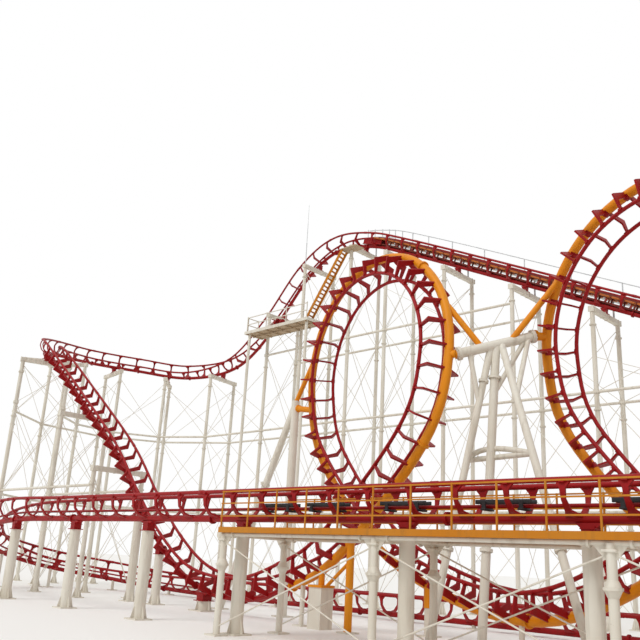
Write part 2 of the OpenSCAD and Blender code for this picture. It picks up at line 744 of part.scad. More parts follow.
// An endless outline round both wheels, offset from the chain's middle line
function arc_points(s, r, from, to) =
    let (f = track(s), c = f[0] + f[3] * wheel_rise, steps = 12)
    [for (k = [0 : steps])
        let (a = from + (to - from) * k / steps, p = c + r * (cos(a) * f[3] + sin(a) * f[1]))
        [p.x, p.z]];
function endless(grow) =
    let (n = 44, top = wheel_rise + wheel_r + grow, bottom = wheel_rise - wheel_r - grow)
    concat(
        [for (k = [1 : n - 1]) lift_line(tail_s, head_s, top, n)[k]],
        arc_points(head_s, wheel_r + grow, 0, 180),
        [for (k = [n - 1 : -1 : 1]) lift_line(tail_s, head_s, bottom, n)[k]],
        arc_points(tail_s, wheel_r + grow, 180, 360)
    );
// Children about a wheel's centre: X across the track, Y up from the rail plane
module at_wheel(s) {
    f = track(s);
    c = f[0] + f[3] * wheel_rise;
    along = unit([f[1].x, 0, f[1].z]);
    up = cross([0, 1, 0], along);
    multmatrix([
        [0, up.x, -along.x, c.x],
        [1, 0, 0, lift_y],
        [0, up.z, -along.z, c.z],
        [0, 0, 0, 1]
    ]) children();
}
chain_plate_t = 6;
chain_plate_in = 20;
chain_pin_r = 8;
chain_pins = 12;
wheel_teeth = 12;
module lift_chain() {
    pin_length = 2 * (chain_plate_in + chain_plate_t) - 2;
    color(STEEL)
    translate([0, lift_y, 0]) rotate([90, 0, 0]) {
        for (side = [-chain_plate_in - chain_plate_t, chain_plate_in])
            translate([0, 0, side])
            difference() {
                linear_extrude(chain_plate_t) polygon(endless(chain_half));
                translate([0, 0, -1]) linear_extrude(chain_plate_t + 2) polygon(endless(-chain_half));
            }
        for (rise = [wheel_rise - wheel_r, wheel_rise + wheel_r])
            for (p = lift_line(tail_s + clear_of_wheel, head_s - clear_of_wheel, rise, chain_pins))
                translate([p.x, p.y, -pin_length / 2]) cylinder(h = pin_length, r = chain_pin_r);
    }
}

// A toothed wheel with its hub and axle
root_depth = 11;
tip_height = 17;
tooth_width = 28;
hub_width = 72;
hub_r = 34;
axle_length = 276;
module chain_wheel(s) {
    tooth_step = 360 / wheel_teeth;
    root = wheel_r - root_depth;
    tip = wheel_r + tip_height;
    outline = [
        for (k = [0 : wheel_teeth - 1])
            each [
                root * [cos(k * tooth_step + 9), sin(k * tooth_step + 9)],
                tip * [cos(k * tooth_step + 12.5), sin(k * tooth_step + 12.5)],
                tip * [cos(k * tooth_step + 17.5), sin(k * tooth_step + 17.5)],
                root * [cos(k * tooth_step + 21), sin(k * tooth_step + 21)]
            ]
    ];
    color(STEEL)
    at_wheel(s) rotate([0, 90, 0]) {
        linear_extrude(tooth_width, center = true) polygon(outline);
        cylinder(h = hub_width, r = hub_r, center = true);
        cylinder(h = axle_length, r = axle_r, center = true);
    }
}
module head_wheel() chain_wheel(head_s);
module tail_wheel() chain_wheel(tail_s);

// Plates on both sides of each wheel, long enough to reach the ties that carry them
module wheel_bearings() {
    plate_in = 95;
    plate_t = 30;
    plate_l = tie_pitch + 100;
    plate_low = -130;
    plate_high = 55;
    color(RED)
    for (s = [tail_s, head_s], side = [-plate_in - plate_t, plate_in])
        at_wheel(s) translate([side, 0, 0])
        difference() {
            translate([0, plate_low, -plate_l / 2]) cube([plate_t, plate_high - plate_low, plate_l]);
            translate([-1, 0, 0]) rotate([0, 90, 0])
                cylinder(h = plate_t + 2, r = axle_r + running_fit);
        }
}

// The steps beside the lift, on short posts from the portals' beams, and their railing
walk_y = [7930, 8170];
walk_rise = -110;
walk_t = 35;
walk_post_r = 24;
walk_post_y = walk_y[0] + 130;
lift_walk_from = 10.15;
lift_walk_to = 14.4;
module lift_walkway() {
    color(GREY) {
        for (piece = lift_lengths(lift_walk_from, lift_walk_to))
            lift_band(piece[0], piece[1], walk_rise - walk_t, walk_rise, walk_y[0], walk_y[1]);
        for (s = concat(LIFT_PORTALS, [CREST_PORTALS[0]])) {
            at = spine_at(s);
            translate([at.x, walk_post_y, beam_top(s) - 15])
                cylinder(h = at.z + rail_rise + walk_rise - beam_top(s), r = walk_post_r);
        }
    }
}

lift_bar_levels = [260, 500];
module lift_railing() {
    posts = 22;
    color(GREY) {
        for (k = [0 : posts]) {
            f = track(lift_walk_from + 0.03 + (lift_walk_to - lift_walk_from - 0.06) * k / posts);
            p = f[0] + f[3] * walk_rise;
            translate([p.x, walk_y[1] - 20, p.z - 12]) cylinder(h = railing_h + 12, r = post_r);
        }
        for (rise = lift_bar_levels)
            lift_band(lift_walk_from + 0.02, lift_walk_to - 0.02, walk_rise + rise - bar / 2,
                      walk_rise + rise + bar / 2, walk_y[1] - 30, walk_y[1] - 10);
    }
}

section_rails(STATION);  // station_rails
section_spine(STATION);  // station_spine
section_ties(STATION);  // station_ties
section_rails(LIFT);  // lift_rails
section_spine(LIFT);  // lift_spine
section_ties(LIFT);  // lift_ties
section_rails(FIRST_DROP);  // first_drop_rails
section_spine(FIRST_DROP);  // first_drop_spine
section_ties(FIRST_DROP);  // first_drop_ties
section_rails(HIGH_TURN);  // high_turn_rails
section_spine(HIGH_TURN);  // high_turn_spine
section_ties(HIGH_TURN);  // high_turn_ties
section_rails(SECOND_DROP);  // second_drop_rails
section_spine(SECOND_DROP);  // second_drop_spine
section_ties(SECOND_DROP);  // second_drop_ties
section_rails(LOOP_ONE);  // loop_one_rails
section_spine(LOOP_ONE);  // loop_one_spine
section_ties(LOOP_ONE);  // loop_one_ties
section_rails(LOOP_TWO);  // loop_two_rails
section_spine(LOOP_TWO);  // loop_two_spine
section_ties(LOOP_TWO);  // loop_two_ties
section_rails(RETURN_TURN);  // return_turn_rails
section_spine(RETURN_TURN);  // return_turn_spine
section_ties(RETURN_TURN);  // return_turn_ties
section_rails(BRAKE_RUN);  // brake_run_rails
section_spine(BRAKE_RUN);  // brake_run_spine
section_ties(BRAKE_RUN);  // brake_run_ties
section_rails(LOW_TURN);  // low_turn_rails
section_spine(LOW_TURN);  // low_turn_spine
section_ties(LOW_TURN);  // low_turn_ties
track_brackets();
base_plates();
single_columns();
valley_posts();
lift_columns();
crest_columns();
turn_columns();
portal_beams();
portal_struts();
loop_uprights();
tower_tube();
loop_braces();
loop_struts();
walkway_deck();
walkway_handrail();
walkway_beams();
walkway_frame();
motor_platform();
platform_railing();
drive_motor();
crest_stair();
lightning_rod();
lift_trough();
lift_chain();
wheel_bearings();
head_wheel();
tail_wheel();
lift_walkway();
lift_railing();
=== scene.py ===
import json
import logging
import math
from dataclasses import dataclass
from enum import Enum

import bmesh
import bpy
from mathutils import Matrix, Quaternion, Vector

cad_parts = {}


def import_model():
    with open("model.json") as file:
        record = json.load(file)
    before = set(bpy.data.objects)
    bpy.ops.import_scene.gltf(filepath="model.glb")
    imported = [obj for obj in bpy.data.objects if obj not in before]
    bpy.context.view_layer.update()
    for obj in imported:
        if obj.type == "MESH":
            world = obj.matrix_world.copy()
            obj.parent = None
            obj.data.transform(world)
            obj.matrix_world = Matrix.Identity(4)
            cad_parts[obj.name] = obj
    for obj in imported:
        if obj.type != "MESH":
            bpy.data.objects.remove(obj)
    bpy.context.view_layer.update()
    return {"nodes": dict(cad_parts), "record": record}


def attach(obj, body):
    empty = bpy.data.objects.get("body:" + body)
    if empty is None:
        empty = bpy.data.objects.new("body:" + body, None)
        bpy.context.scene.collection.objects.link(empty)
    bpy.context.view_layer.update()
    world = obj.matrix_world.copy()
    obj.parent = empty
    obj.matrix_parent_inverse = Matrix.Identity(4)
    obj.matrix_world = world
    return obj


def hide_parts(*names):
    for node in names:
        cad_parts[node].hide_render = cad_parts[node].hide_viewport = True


Pair = tuple[float, float]
Triple = tuple[float, float, float]
Pairs = tuple[Pair, ...]
Triples = tuple[Triple, ...]
Paths = list[list[Vector]]
Shape = bmesh.types.BMesh
Socket = bpy.types.NodeSocket
Tree = bpy.types.NodeTree

LOG = logging.getLogger("coaster")
STRUCTURE = "structure"
UP = Vector((0.0, 0.0, 1.0))
SIDES = (-1, 1)
# How far the spine's centre lies under the rail plane
SPINE_DROP = 0.38
# Straight lengths in a bent saddle or yoke
ARCH_STEPS = 3
# Sides of a bolt's head
HEXAGON = 6
# Edges over this angle stay sharp on plates and blocks
CRISP_ANGLE = 35
# Numbers of the colour sockets on a mix node
MIX_LOWER, MIX_UPPER, MIX_COLOUR = 6, 7, 2


class Slot(Enum):
    """Material slots of the record."""

    RED = "red_paint"
    YELLOW = "yellow_paint"
    WHITE = "white_paint"
    ORANGE = "orange_paint"
    BROWN = "brown_paint"
    BEIGE = "beige_paint"
    ZINC = "galvanised"
    OILED = "oiled_steel"


def linear(code: str) -> tuple[float, float, float, float]:
    """Turns an sRGB hex colour into linear values.

    Args:
        code: six hex digits after a hash sign.

    Returns:
        Red, green, blue and an alpha of one.
    """
    parts = [int(code[i:i + 2], 16) / 255 for i in (1, 3, 5)]
    red, green, blue = (p / 12.92 if p <= 0.04045 else ((p + 0.055) / 1.055) ** 2.4 for p in parts)
    return red, green, blue, 1.0


def add(tree: Tree, kind: str, settings: dict[str, object] | None = None,
        links: dict[str | int, Socket] | None = None) -> bpy.types.Node:
    """Adds one node with its settings and links.

    Args:
        tree: the node tree that gets the node.
        kind: the node's type name.
        settings: node properties, or values of inputs by their names.
        links: outputs of other nodes, by input name or number.

    Returns:
        The new node.
    """
    node = tree.nodes.new(kind)
    for key, value in (settings or {}).items():
        if hasattr(node, key):
            setattr(node, key, value)
        else:
            node.inputs[key].default_value = value
    for key, output in (links or {}).items():
        tree.links.new(output, node.inputs[key])
    return node


class Shades:
    """Builds one material's nodes: patterns in object space, ranges, mixes and the shader at their end."""

    def __init__(self, name: str) -> None:
        """Starts an empty material.

        Args:
            name: the material's name.
        """
        self.made = bpy.data.materials.new(name)
        self.made.use_nodes = True
        self.tree = self.made.node_tree
        self.tree.nodes.clear()
        self.place = add(self.tree, "ShaderNodeTexCoord").outputs["Object"]

    def stretched(self, scale: Triple) -> Socket:
        """Gives places that are scaled on each axis, for patterns that run one way."""
        return add(self.tree, "ShaderNodeMapping", {"Scale": scale}, {"Vector": self.place}).outputs["Vector"]

    def noise(self, scale: float, detail: float, place: Socket | None = None,
              roughness: float = 0.5) -> Socket:
        """Gives a cloudy pattern, its scale in waves a metre.

        Args:
            scale: waves a metre.
            detail: how many finer layers lie over the first.
            place: where the pattern is read, or nothing for object space.
            roughness: how strong the finer layers are.

        Returns:
            The pattern's value.
        """
        settings = {"Scale": scale, "Detail": detail, "Roughness": roughness}
        return add(self.tree, "ShaderNodeTexNoise", settings,
                   {"Vector": self.place if place is None else place}).outputs["Fac"]

    def upward(self) -> Socket:
        """Gives how far a face looks up, from minus one to one."""
        normal = add(self.tree, "ShaderNodeNewGeometry").outputs["Normal"]
        return add(self.tree, "ShaderNodeSeparateXYZ", None, {"Vector": normal}).outputs["Z"]

    def ranged(self, value: Socket, given: Pair = (0.0, 1.0), wanted: Pair = (0.0, 1.0)) -> Socket:
        """Stretches the given range of a value to the wanted one."""
        ends = {"From Min": given[0], "From Max": given[1], "To Min": wanted[0], "To Max": wanted[1]}
        return add(self.tree, "ShaderNodeMapRange", ends, {"Value": value}).outputs["Result"]

    def product(self, first: Socket, second: Socket) -> Socket:
        """Multiplies two values."""
        return add(self.tree, "ShaderNodeMath", {"operation": "MULTIPLY"}, {0: first, 1: second}).outputs[0]

    def mixed(self, share: Socket, under: str | Socket, over: str) -> Socket:
        """Lays a colour over another.

        Args:
            share: how much of the upper colour shows.
            under: the lower colour, as a hex code or a node's output.
            over: the upper colour's hex code.

        Returns:
            The mixed colour.
        """
        node = add(self.tree, "ShaderNodeMix", {"data_type": "RGBA"}, {"Factor": share})
        lower, upper = node.inputs[MIX_LOWER], node.inputs[MIX_UPPER]
        if isinstance(under, str):
            lower.default_value = linear(under)
        else:
            self.tree.links.new(under, lower)
        upper.default_value = linear(over)
        return node.outputs[MIX_COLOUR]

    def relief(self, height: Socket, strength: float, depth: float) -> Socket:
        """Turns heights into an uneven skin of a depth in metres."""
        return add(self.tree, "ShaderNodeBump", {"Strength": strength, "Distance": depth},
                   {"Height": height}).outputs["Normal"]

    def done(self, colour: Socket, gloss: Socket, skin: Socket,
             settings: dict[str, float]) -> bpy.types.Material:
        """Ends the material with its shader.

        Args:
            colour: the base colour.
            gloss: the roughness.
            skin: the uneven normal.
            settings: further values of the shader, by input name.

        Returns:
            The finished material.
        """
        shader = add(self.tree, "ShaderNodeBsdfPrincipled", settings,
                     {"Base Color": colour, "Roughness": gloss, "Normal": skin})
        add(self.tree, "ShaderNodeOutputMaterial", None, {"Surface": shader.outputs["BSDF"]})
        return self.made


@dataclass(frozen=True)
class Paint:
    """Brushed or sprayed enamel on steel: a skin with fading, dust from above, streaks and chips."""

    name: str
    colour: str
    faded: str
    dust: str
    roughness: float = 0.38
    shine: float = 0.3
    fade: float = 0.55
    streaks: float = 0.35
    chips: float = 0.7
    patch_mm: float = 900.0
    streak_mm: float = 90.0
    peel_mm: float = 14.0
    chip_mm: float = 28.0
    bleached_range: Pair = (0.38, 0.68)
    streak_range: Pair = (0.52, 0.72)
    streak_stretch: Triple = (1.0, 1.0, 0.12)
    upward_range: Pair = (0.55, 1.0)
    top_dust: float = 0.3
    chip_edge: float = 0.05
    chip_roughness: float = 0.6
    rust: str = "#6E4430"
    smoother: float = 0.07
    rougher: float = 0.22
    peel_strength: float = 0.12
    peel_depth: float = 0.004
    refraction: float = 1.5

    def material(self) -> bpy.types.Material:
        """Builds the enamel's node material.

        Returns:
            The new material.
        """
        nodes = Shades(self.name)
        patches = nodes.noise(1000 / self.patch_mm, detail=4.0)
        bleached = nodes.ranged(patches, self.bleached_range, (0.0, self.fade))
        skin = nodes.mixed(bleached, self.colour, self.faded)
        drips = nodes.noise(1000 / self.streak_mm, detail=3.0, place=nodes.stretched(self.streak_stretch))
        washed = nodes.ranged(drips, self.streak_range, (0.0, self.streaks))
        stained = nodes.mixed(washed, skin, self.dust)
        top = nodes.ranged(nodes.upward(), self.upward_range, (0.0, self.top_dust))
        dusty = nodes.mixed(nodes.product(top, patches), stained, self.dust)
        spots = nodes.noise(1000 / self.chip_mm, detail=5.0, roughness=self.chip_roughness)
        worn = nodes.mixed(nodes.ranged(spots, (self.chips, self.chips + self.chip_edge)), dusty, self.rust)
        gloss = nodes.ranged(patches, wanted=(self.roughness - self.smoother, self.roughness + self.rougher))
        peel = nodes.noise(1000 / self.peel_mm, detail=2.0)
        relief = nodes.relief(peel, self.peel_strength, self.peel_depth)
        return nodes.done(worn, gloss, relief, {"IOR": self.refraction, "Specular IOR Level": self.shine})


@dataclass(frozen=True)
class Metal:
    """Bare or zinc-coated steel: crystals or grease in patches, over a metal that mirrors softly."""

    name: str
    light: str
    dark: str
    roughness: float
    metallic: float = 1.0
    patch_mm: float = 60.0
    grease: float = 0.0
    cloud_scale: float = 3.0
    grease_range: Pair = (0.42, 0.62)
    grease_colour: str = "#2A2420"
    smoother: float = 0.08
    rougher: float = 0.16
    crystal_strength: float = 0.1
    crystal_depth: float = 0.003

    def material(self) -> bpy.types.Material:
        """Builds the metal's node material.

        Returns:
            The new material.
        """
        nodes = Shades(self.name)
        flakes = add(nodes.tree, "ShaderNodeTexVoronoi", {"Scale": 1000 / self.patch_mm},
                     {"Vector": nodes.place})
        tone = add(nodes.tree, "ShaderNodeSeparateColor", None, {"Color": flakes.outputs["Color"]})
        cloud = nodes.noise(self.cloud_scale, detail=4.0)
        coat = nodes.mixed(nodes.product(tone.outputs["Red"], cloud), self.light, self.dark)
        smeared = nodes.ranged(cloud, self.grease_range, (0.0, self.grease))
        dirty = nodes.mixed(smeared, coat, self.grease_colour)
        gloss = nodes.ranged(cloud, wanted=(self.roughness - self.smoother, self.roughness + self.rougher))
        relief = nodes.relief(flakes.outputs["Distance"], self.crystal_strength, self.crystal_depth)
        return nodes.done(dirty, gloss, relief, {"Metallic": self.metallic})


@dataclass(frozen=True)
class Board:
    """Painted softwood: long grain under a thin coat, with bare, greyed patches."""

    name: str
    coat: str
    bare: str
    grain_mm: float = 18.0
    grain_stretch: Triple = (0.08, 1.0, 1.0)
    wear_scale: float = 2.2
    wear_range: Pair = (0.5, 0.64)
    wear: float = 0.75
    gloss_range: Pair = (0.5, 0.85)
    grain_strength: float = 0.35
    grain_depth: float = 0.003
    refraction: float = 1.5

    def material(self) -> bpy.types.Material:
        """Builds the board's node material.

        Returns:
            The new material.
        """
        nodes = Shades(self.name)
        grain = nodes.noise(1000 / self.grain_mm, detail=5.0, place=nodes.stretched(self.grain_stretch))
        worn = nodes.ranged(nodes.noise(self.wear_scale, detail=5.0), self.wear_range, (0.0, self.wear))
        face = nodes.mixed(nodes.product(worn, grain), self.coat, self.bare)
        gloss = nodes.ranged(grain, wanted=self.gloss_range)
        relief = nodes.relief(grain, self.grain_strength, self.grain_depth)
        return nodes.done(face, gloss, relief, {"IOR": self.refraction})


# Red enamel on rails and ties: strong and deep, a little paler where the sun has bleached it
RED_ENAMEL = Paint("red gloss enamel on steel", "#95090F", "#9D1919", "#62241D", shine=0.22, fade=0.5)
# Yellow enamel on the loops' spines: warm, with brown dust in runs
YELLOW_ENAMEL = Paint("yellow gloss enamel on steel", "#DF870A", "#E09422", "#9A6426", shine=0.22,
                      streaks=0.22, chips=0.77)
# White paint on the columns: chalky and warm, with grey-brown runs
WHITE_PAINT = Paint("chalky white paint on steel", "#DED9CC", "#CFC6B5", "#9C8E79", roughness=0.5, fade=0.6)
# Orange paint on the walkway and the stair: thinner and more worn than the rest
ORANGE_PAINT = Paint("orange enamel on steel angle", "#BD7412", "#C08530", "#7E5A2E", shine=0.22, chips=0.66)
# Red-brown paint on the trough in the lift
BROWN_BOARD = Board("red-brown painted softwood", "#7A2618", "#6A4230")
# Brighter boards between the lift's ties
ORANGE_BOARD = Board("orange-brown painted boards", "#B8641F", "#93501F")
# Beige underside of the platform: matt primer gone patchy
BEIGE_PAINT = Paint("matt beige primer on plate", "#B7A184", "#A8937A", "#7A6A52", roughness=0.62, fade=0.7)
# Hot-dip zinc on railings: grey spangle, hardly any gloss
ZINC = Metal("hot-dip galvanised steel", "#CDCFCF", "#A2A5A7", 0.5, metallic=0.6)
# Chain and wheels: dark steel under grease
OILED = Metal("greased chain steel", "#6B6A69", "#3F3E3D", 0.38, grease=0.8)
# Cast iron of the brakes
DARK_CAST = Metal("black cast iron", "#3A3A3C", "#232325", 0.55, metallic=0.4, grease=0.3)

FINISHES = {
    Slot.RED: RED_ENAMEL, Slot.YELLOW: YELLOW_ENAMEL, Slot.WHITE: WHITE_PAINT, Slot.ORANGE: ORANGE_PAINT,
    Slot.BROWN: BROWN_BOARD, Slot.BEIGE: BEIGE_PAINT, Slot.ZINC: ZINC, Slot.OILED: OILED,
}

# Track knots before the loops: x, y, z in metres and the bank in degrees, to the right of travel
KNOTS_OUT = (
    (-10.4, 3.55, 0.5, 0), (-5.4, 3.55, 0.5, 0), (0.6, 3.55, 0.5, 0), (6.6, 3.55, 0.5, 0),
    (11.6, 3.55, 0.5, 0), (15.2, 3.55, 0.5, 0), (16.8, 4.15, 0.5, 0), (17.5, 5.55, 0.5, 0),
    (16.8, 6.95, 0.5, 0), (15.2, 7.55, 0.55, 0), (12.6, 7.55, 1.35, 0), (6.6, 7.55, 4.2, 0),
    (-0.4, 7.55, 7.5, 0), (-6.9, 7.55, 10.6, 0), (-9, 7.55, 11.45, 0), (-10.6, 7.55, 11.6, 0),
    (-12.1, 7.55, 10.9, -5), (-13.8, 7.55, 9.3, -12), (-15.6, 7.5, 8.2, -25), (-17.5, 6.9, 7.9, -40),
    (-18.65, 5.5, 8, -45), (-18.9, 3.8, 7.95, -45), (-18.1, 2.1, 7.75, -40), (-16.75, 0.95, 7.4, -22),
    (-15.3, 0.45, 6.9, -5), (-13, 0.45, 5.3, 0), (-10.8, 0.45, 3.7, 0), (-9.5, 0.45, 2.45, 0),
    (-8.4, 0.45, 1.5, 0), (-7.2, 0.45, 0.85, 0), (-5.6, 0.35, 0.7, 0), (-4.2, 0.15, 1, 0),
)
# The one knot between the loops
KNOTS_MIDDLE = ((0.3, 0.6, 0.8, 0),)
# Track knots after the loops, back to the start
KNOTS_BACK = (
    (6.3, 0.3, 0.7, 0), (7.9, 0.35, 0.95, 0), (9.4, 0.75, 1.5, 0), (11.4, 1.5, 1.95, 20),
    (13.3, 1.3, 2.2, 35), (14.5, -0.1, 2.25, 40), (14.1, -1.7, 2.2, 38), (12.6, -2.5, 2.1, 25),
    (10.8, -2.4, 2.04, 8), (9, -2.25, 2.03, 0), (5, -2.25, 2.03, 0), (1, -2.25, 2.03, 0),
    (-3.5, -2.25, 2.03, 0), (-7.9, -2.25, 2.03, 0), (-10.4, -2.2, 2, 8), (-12.6, -1.8, 1.8, 20),
    (-14.6, -0.6, 1.35, 28), (-15.4, 1.1, 0.95, 28), (-14.5, 2.7, 0.68, 22), (-12.7, 3.45, 0.54, 8),
)


@dataclass(frozen=True)
class Spot:
    """One place on the track with its own axes."""

    place: Vector
    along: Vector
    right: Vector
    up: Vector

    def point(self, across: float, rise: float) -> Vector:
        """Gives a point by its distances across and over the rail plane's centre."""
        return self.place + self.right * across + self.up * rise

    def turn(self) -> Quaternion:
        """Gives the turn that lays X to the right of travel, Y up and Z back along the track."""
        return Matrix((self.right, self.up, -self.along)).transposed().to_quaternion()


def reading(value: float, table: list[Pair]) -> float:
    """Reads a rising table of pairs between its rows.

    Args:
        value: the first figure of the pair that is looked for.
        table: pairs in rising order of their first figure.

    Returns:
        The second figure, in proportion between two rows.
    """
    for (x0, y0), (x1, y1) in zip(table, table[1:]):
        if value <= x1:
            return y0 + (y1 - y0) * (value - x0) / (x1 - x0)
    return table[-1][1]


@dataclass(frozen=True)
class Circuit:
    """The closed path of the rail plane: knots, loops and banks, joined by one smooth curve."""

    loop_one_at: Pair = (-2.72, 0.55)
    loop_two_at: Pair = (2.81, 0.45)
    loop_r: float = 1.95
    loop_foot_r: float = 6.7
    loop_shift: float = 1.5
    loop_turn: float = -8.4
    loop_z: float = 0.54
    loop_power: float = 6.0
    loop_step: int = 5
    knot_angle: int = 30

    def turned(self, x: float, y: float, z: float) -> Vector:
        """Turns a point of a loop's own plane about the vertical."""
        return Matrix.Rotation(math.radians(self.loop_turn), 3, "Z") @ Vector((x, y, z))

    def loop_curve(self) -> list[Pair]:
        """Walks round a loop in its own plane, one small step after another.

        Returns:
            Pairs of a place along and a height, from the loop's start to its end.
        """
        step = self.loop_step
        x = z = 0.0
        curve = []
        for k in range(360 // step + 1):
            curve.append((x, z))
            phi = math.radians((k + 0.5) * step)
            radius = self.loop_r + self.loop_foot_r * ((1 + math.cos(phi)) / 2) ** self.loop_power
            x += radius * math.cos(phi) * math.radians(step)
            z += radius * math.sin(phi) * math.radians(step)
        return curve

    def loop_knots(self, centre: Pair) -> list[tuple[Vector, Vector]]:
        """Gives the places and up directions of one loop's knots.

        Args:
            centre: the loop's centre in plan.

        Returns:
            Pairs of a place and an up direction.
        """
        curve = self.loop_curve()
        middle = curve[-1][0] / 2
        found = []
        for phi in range(self.knot_angle, 360, self.knot_angle):
            x, z = curve[phi // self.loop_step]
            aside = self.loop_shift * (phi / 360 - 0.5)
            place = Vector((*centre, self.loop_z)) + self.turned(x - middle, aside, z)
            angle = math.radians(phi)
            found.append((place, self.turned(-math.sin(angle), 0.0, math.cos(angle))))
        return found

    def knots(self) -> tuple[list[Vector], list[Vector]]:
        """Lists the places and the up directions of all knots, in order of travel.

        Returns:
            The places, and the up directions.
        """
        one, two = self.loop_knots(self.loop_one_at), self.loop_knots(self.loop_two_at)
        rows: list[tuple[Vector, Vector | None, float]] = []
        for part in (KNOTS_OUT, one, KNOTS_MIDDLE, two, KNOTS_BACK):
            for row in part:
                if len(row) == 4:
                    rows.append((Vector(row[:3]), None, row[3]))
                else:
                    rows.append((row[0], row[1], 0.0))
        places = [row[0] for row in rows]
        ups = []
        for i, (_, up, bank) in enumerate(rows):
            if up is None:
                along = (places[(i + 1) % len(places)] - places[i - 1]).normalized()
                side = along.cross(UP).normalized()
                angle = math.radians(bank)
                up = side.cross(along) * math.cos(angle) + side * math.sin(angle)
            ups.append(up)
        return places, ups


@dataclass(frozen=True)
class Stand:
    """A place, a turn and a size for one copy of a repeated shape."""

    place: Vector
    turn: Quaternion = Quaternion()
    size: Triple = (1.0, 1.0, 1.0)


class Track:
    """Reads the circuit at any place, counted in knots."""

    FINE = 8

    def __init__(self, circuit: Circuit) -> None:
        """Works out the knots and the distance travelled at each eighth of a knot.

        Args:
            circuit: the layout of the knots.
        """
        self.places, self.ups = circuit.knots()
        gone = 0.0
        self.travel = [(0.0, 0.0)]
        for k in range(len(self.places) * self.FINE):
            s, t = k / self.FINE, (k + 1) / self.FINE
            gone += (self.curve(self.places, t) - self.curve(self.places, s)).length
            self.travel.append((t, gone))
        self.back = [(b, a) for a, b in self.travel]

    def near(self, knots: list[Vector], s: float) -> tuple[float, list[Vector]]:
        """Gives the part of the way after a knot, and the four knots around it."""
        i = math.floor(s)
        return s - i, [knots[(i + k) % len(knots)] for k in (-1, 0, 1, 2)]

    def curve(self, knots: list[Vector], s: float) -> Vector:
        """Gives the smooth curve's value at s.

        Args:
            knots: places or up directions, one for each knot.
            s: a place on the circuit, in knots.

        Returns:
            The value at s.
        """
        t, (a, b, c, d) = self.near(knots, s)
        return (2 * b + (c - a) * t + (2 * a - 5 * b + 4 * c - d) * t * t
                + (3 * b - a - 3 * c + d) * t ** 3) / 2

    def slope(self, s: float) -> Vector:
        """Gives the curve's slope at s."""
        t, (a, b, c, d) = self.near(self.places, s)
        return ((c - a) + 2 * (2 * a - 5 * b + 4 * c - d) * t + 3 * (3 * b - a - 3 * c + d) * t * t) / 2

    def spot(self, s: float) -> Spot:
        """Gives the place and axes of the track at s.

        Args:
            s: a place on the circuit, in knots.

        Returns:
            The place with its axes.
        """
        along = self.slope(s).normalized()
        hint = self.curve(self.ups, s)
        up = (hint - along * hint.dot(along)).normalized()
        return Spot(self.curve(self.places, s), along, along.cross(up), up)

    def spine(self, s: float) -> Vector:
        """Gives the centre of the spine at s."""
        return self.spot(s).point(0.0, -SPINE_DROP)

    def heading(self, s: float) -> float:
        """Gives the direction of travel in plan, in radians."""
        along = self.slope(s)
        return math.atan2(along.y, along.x)

    def even(self, first: float, last: float, pitch: float) -> list[float]:
        """Spaces places evenly by distance.

        Args:
            first: where the stretch begins, in knots.
            last: where it ends, in knots.
            pitch: the wished distance between two places, in metres.

        Returns:
            The places, in knots, half a pitch from each end.
        """
        start, end = reading(first, self.travel), reading(last, self.travel)
        number = max(1, round((end - start) / pitch))
        return [reading(start + (k + 0.5) * (end - start) / number, self.back) for k in range(number)]

    def line(self, first: float, last: float, across: float, rise: float, steps: int) -> list[Vector]:
        """Follows the track at a fixed place across it and over it, with a number of steps a knot."""
        number = max(1, round((last - first) * steps))
        return [self.spot(first + (last - first) * k / number).point(across, rise) for k in range(number + 1)]

    def stands(self, places: list[float], across: float = 0.0, rise: float = 0.0) -> list[Stand]:
        """Gives stands in line with the track, at a fixed place across it and over it."""
        spots = [self.spot(s) for s in places]
        return [Stand(spot.point(across, rise), spot.turn()) for spot in spots]


def linked(name: str, data: bpy.types.ID) -> bpy.types.Object:
    """Makes an object and links it to the scene.

    Args:
        name: the object's name.
        data: its mesh, camera or light.

    Returns:
        The new object.
    """
    made = bpy.data.objects.new(name, data)
    bpy.context.scene.collection.objects.link(made)
    return made


def wire(name: str, paths: Paths) -> bpy.types.Object:
    """Makes an object of bare edges, one chain for each path.

    Args:
        name: the object's name.
        paths: lists of points.

    Returns:
        The new object, linked to the scene.
    """
    mesh = bpy.data.meshes.new(name)
    edges = []
    start = 0
    for path in paths:
        edges += [(start + k, start + k + 1) for k in range(len(path) - 1)]
        start += len(path)
    mesh.from_pydata([tuple(p) for path in paths for p in path], edges, [])
    return linked(name, mesh)


def stands(name: str, rows: list[Stand]) -> bpy.types.Object:
    """Makes an object of loose points that carry a turn and a size.

    Args:
        name: the object's name.
        rows: one row for each copy.

    Returns:
        The new object, linked to the scene.
    """
    mesh = bpy.data.meshes.new(name)
    mesh.from_pydata([tuple(r.place) for r in rows], [], [])
    turns = mesh.attributes.new("turn", "QUATERNION", "POINT")
    turns.data.foreach_set("value", [v for r in rows for v in r.turn])
    sizes = mesh.attributes.new("size", "FLOAT_VECTOR", "POINT")
    sizes.data.foreach_set("vector", [v for r in rows for v in r.size])
    return linked(name, mesh)


def new_tree(name: str, inputs: dict[str, str]) -> tuple[Tree, bpy.types.Node]:
    """Starts a geometry node tree with named inputs and a finish.

    Args:
        name: the tree's name.
        inputs: the socket types by the inputs' names, after the geometry.

    Returns:
        The tree and its input node.
    """
    tree = bpy.data.node_groups.new(name, "GeometryNodeTree")
    kinds = {"Geometry": "Geometry", **inputs, "Finish": "Material"}
    for label, kind in kinds.items():
        tree.interface.new_socket(label, in_out="INPUT", socket_type="NodeSocket" + kind)
    tree.interface.new_socket("Geometry", in_out="OUTPUT", socket_type="NodeSocketGeometry")
    return tree, add(tree, "NodeGroupInput")


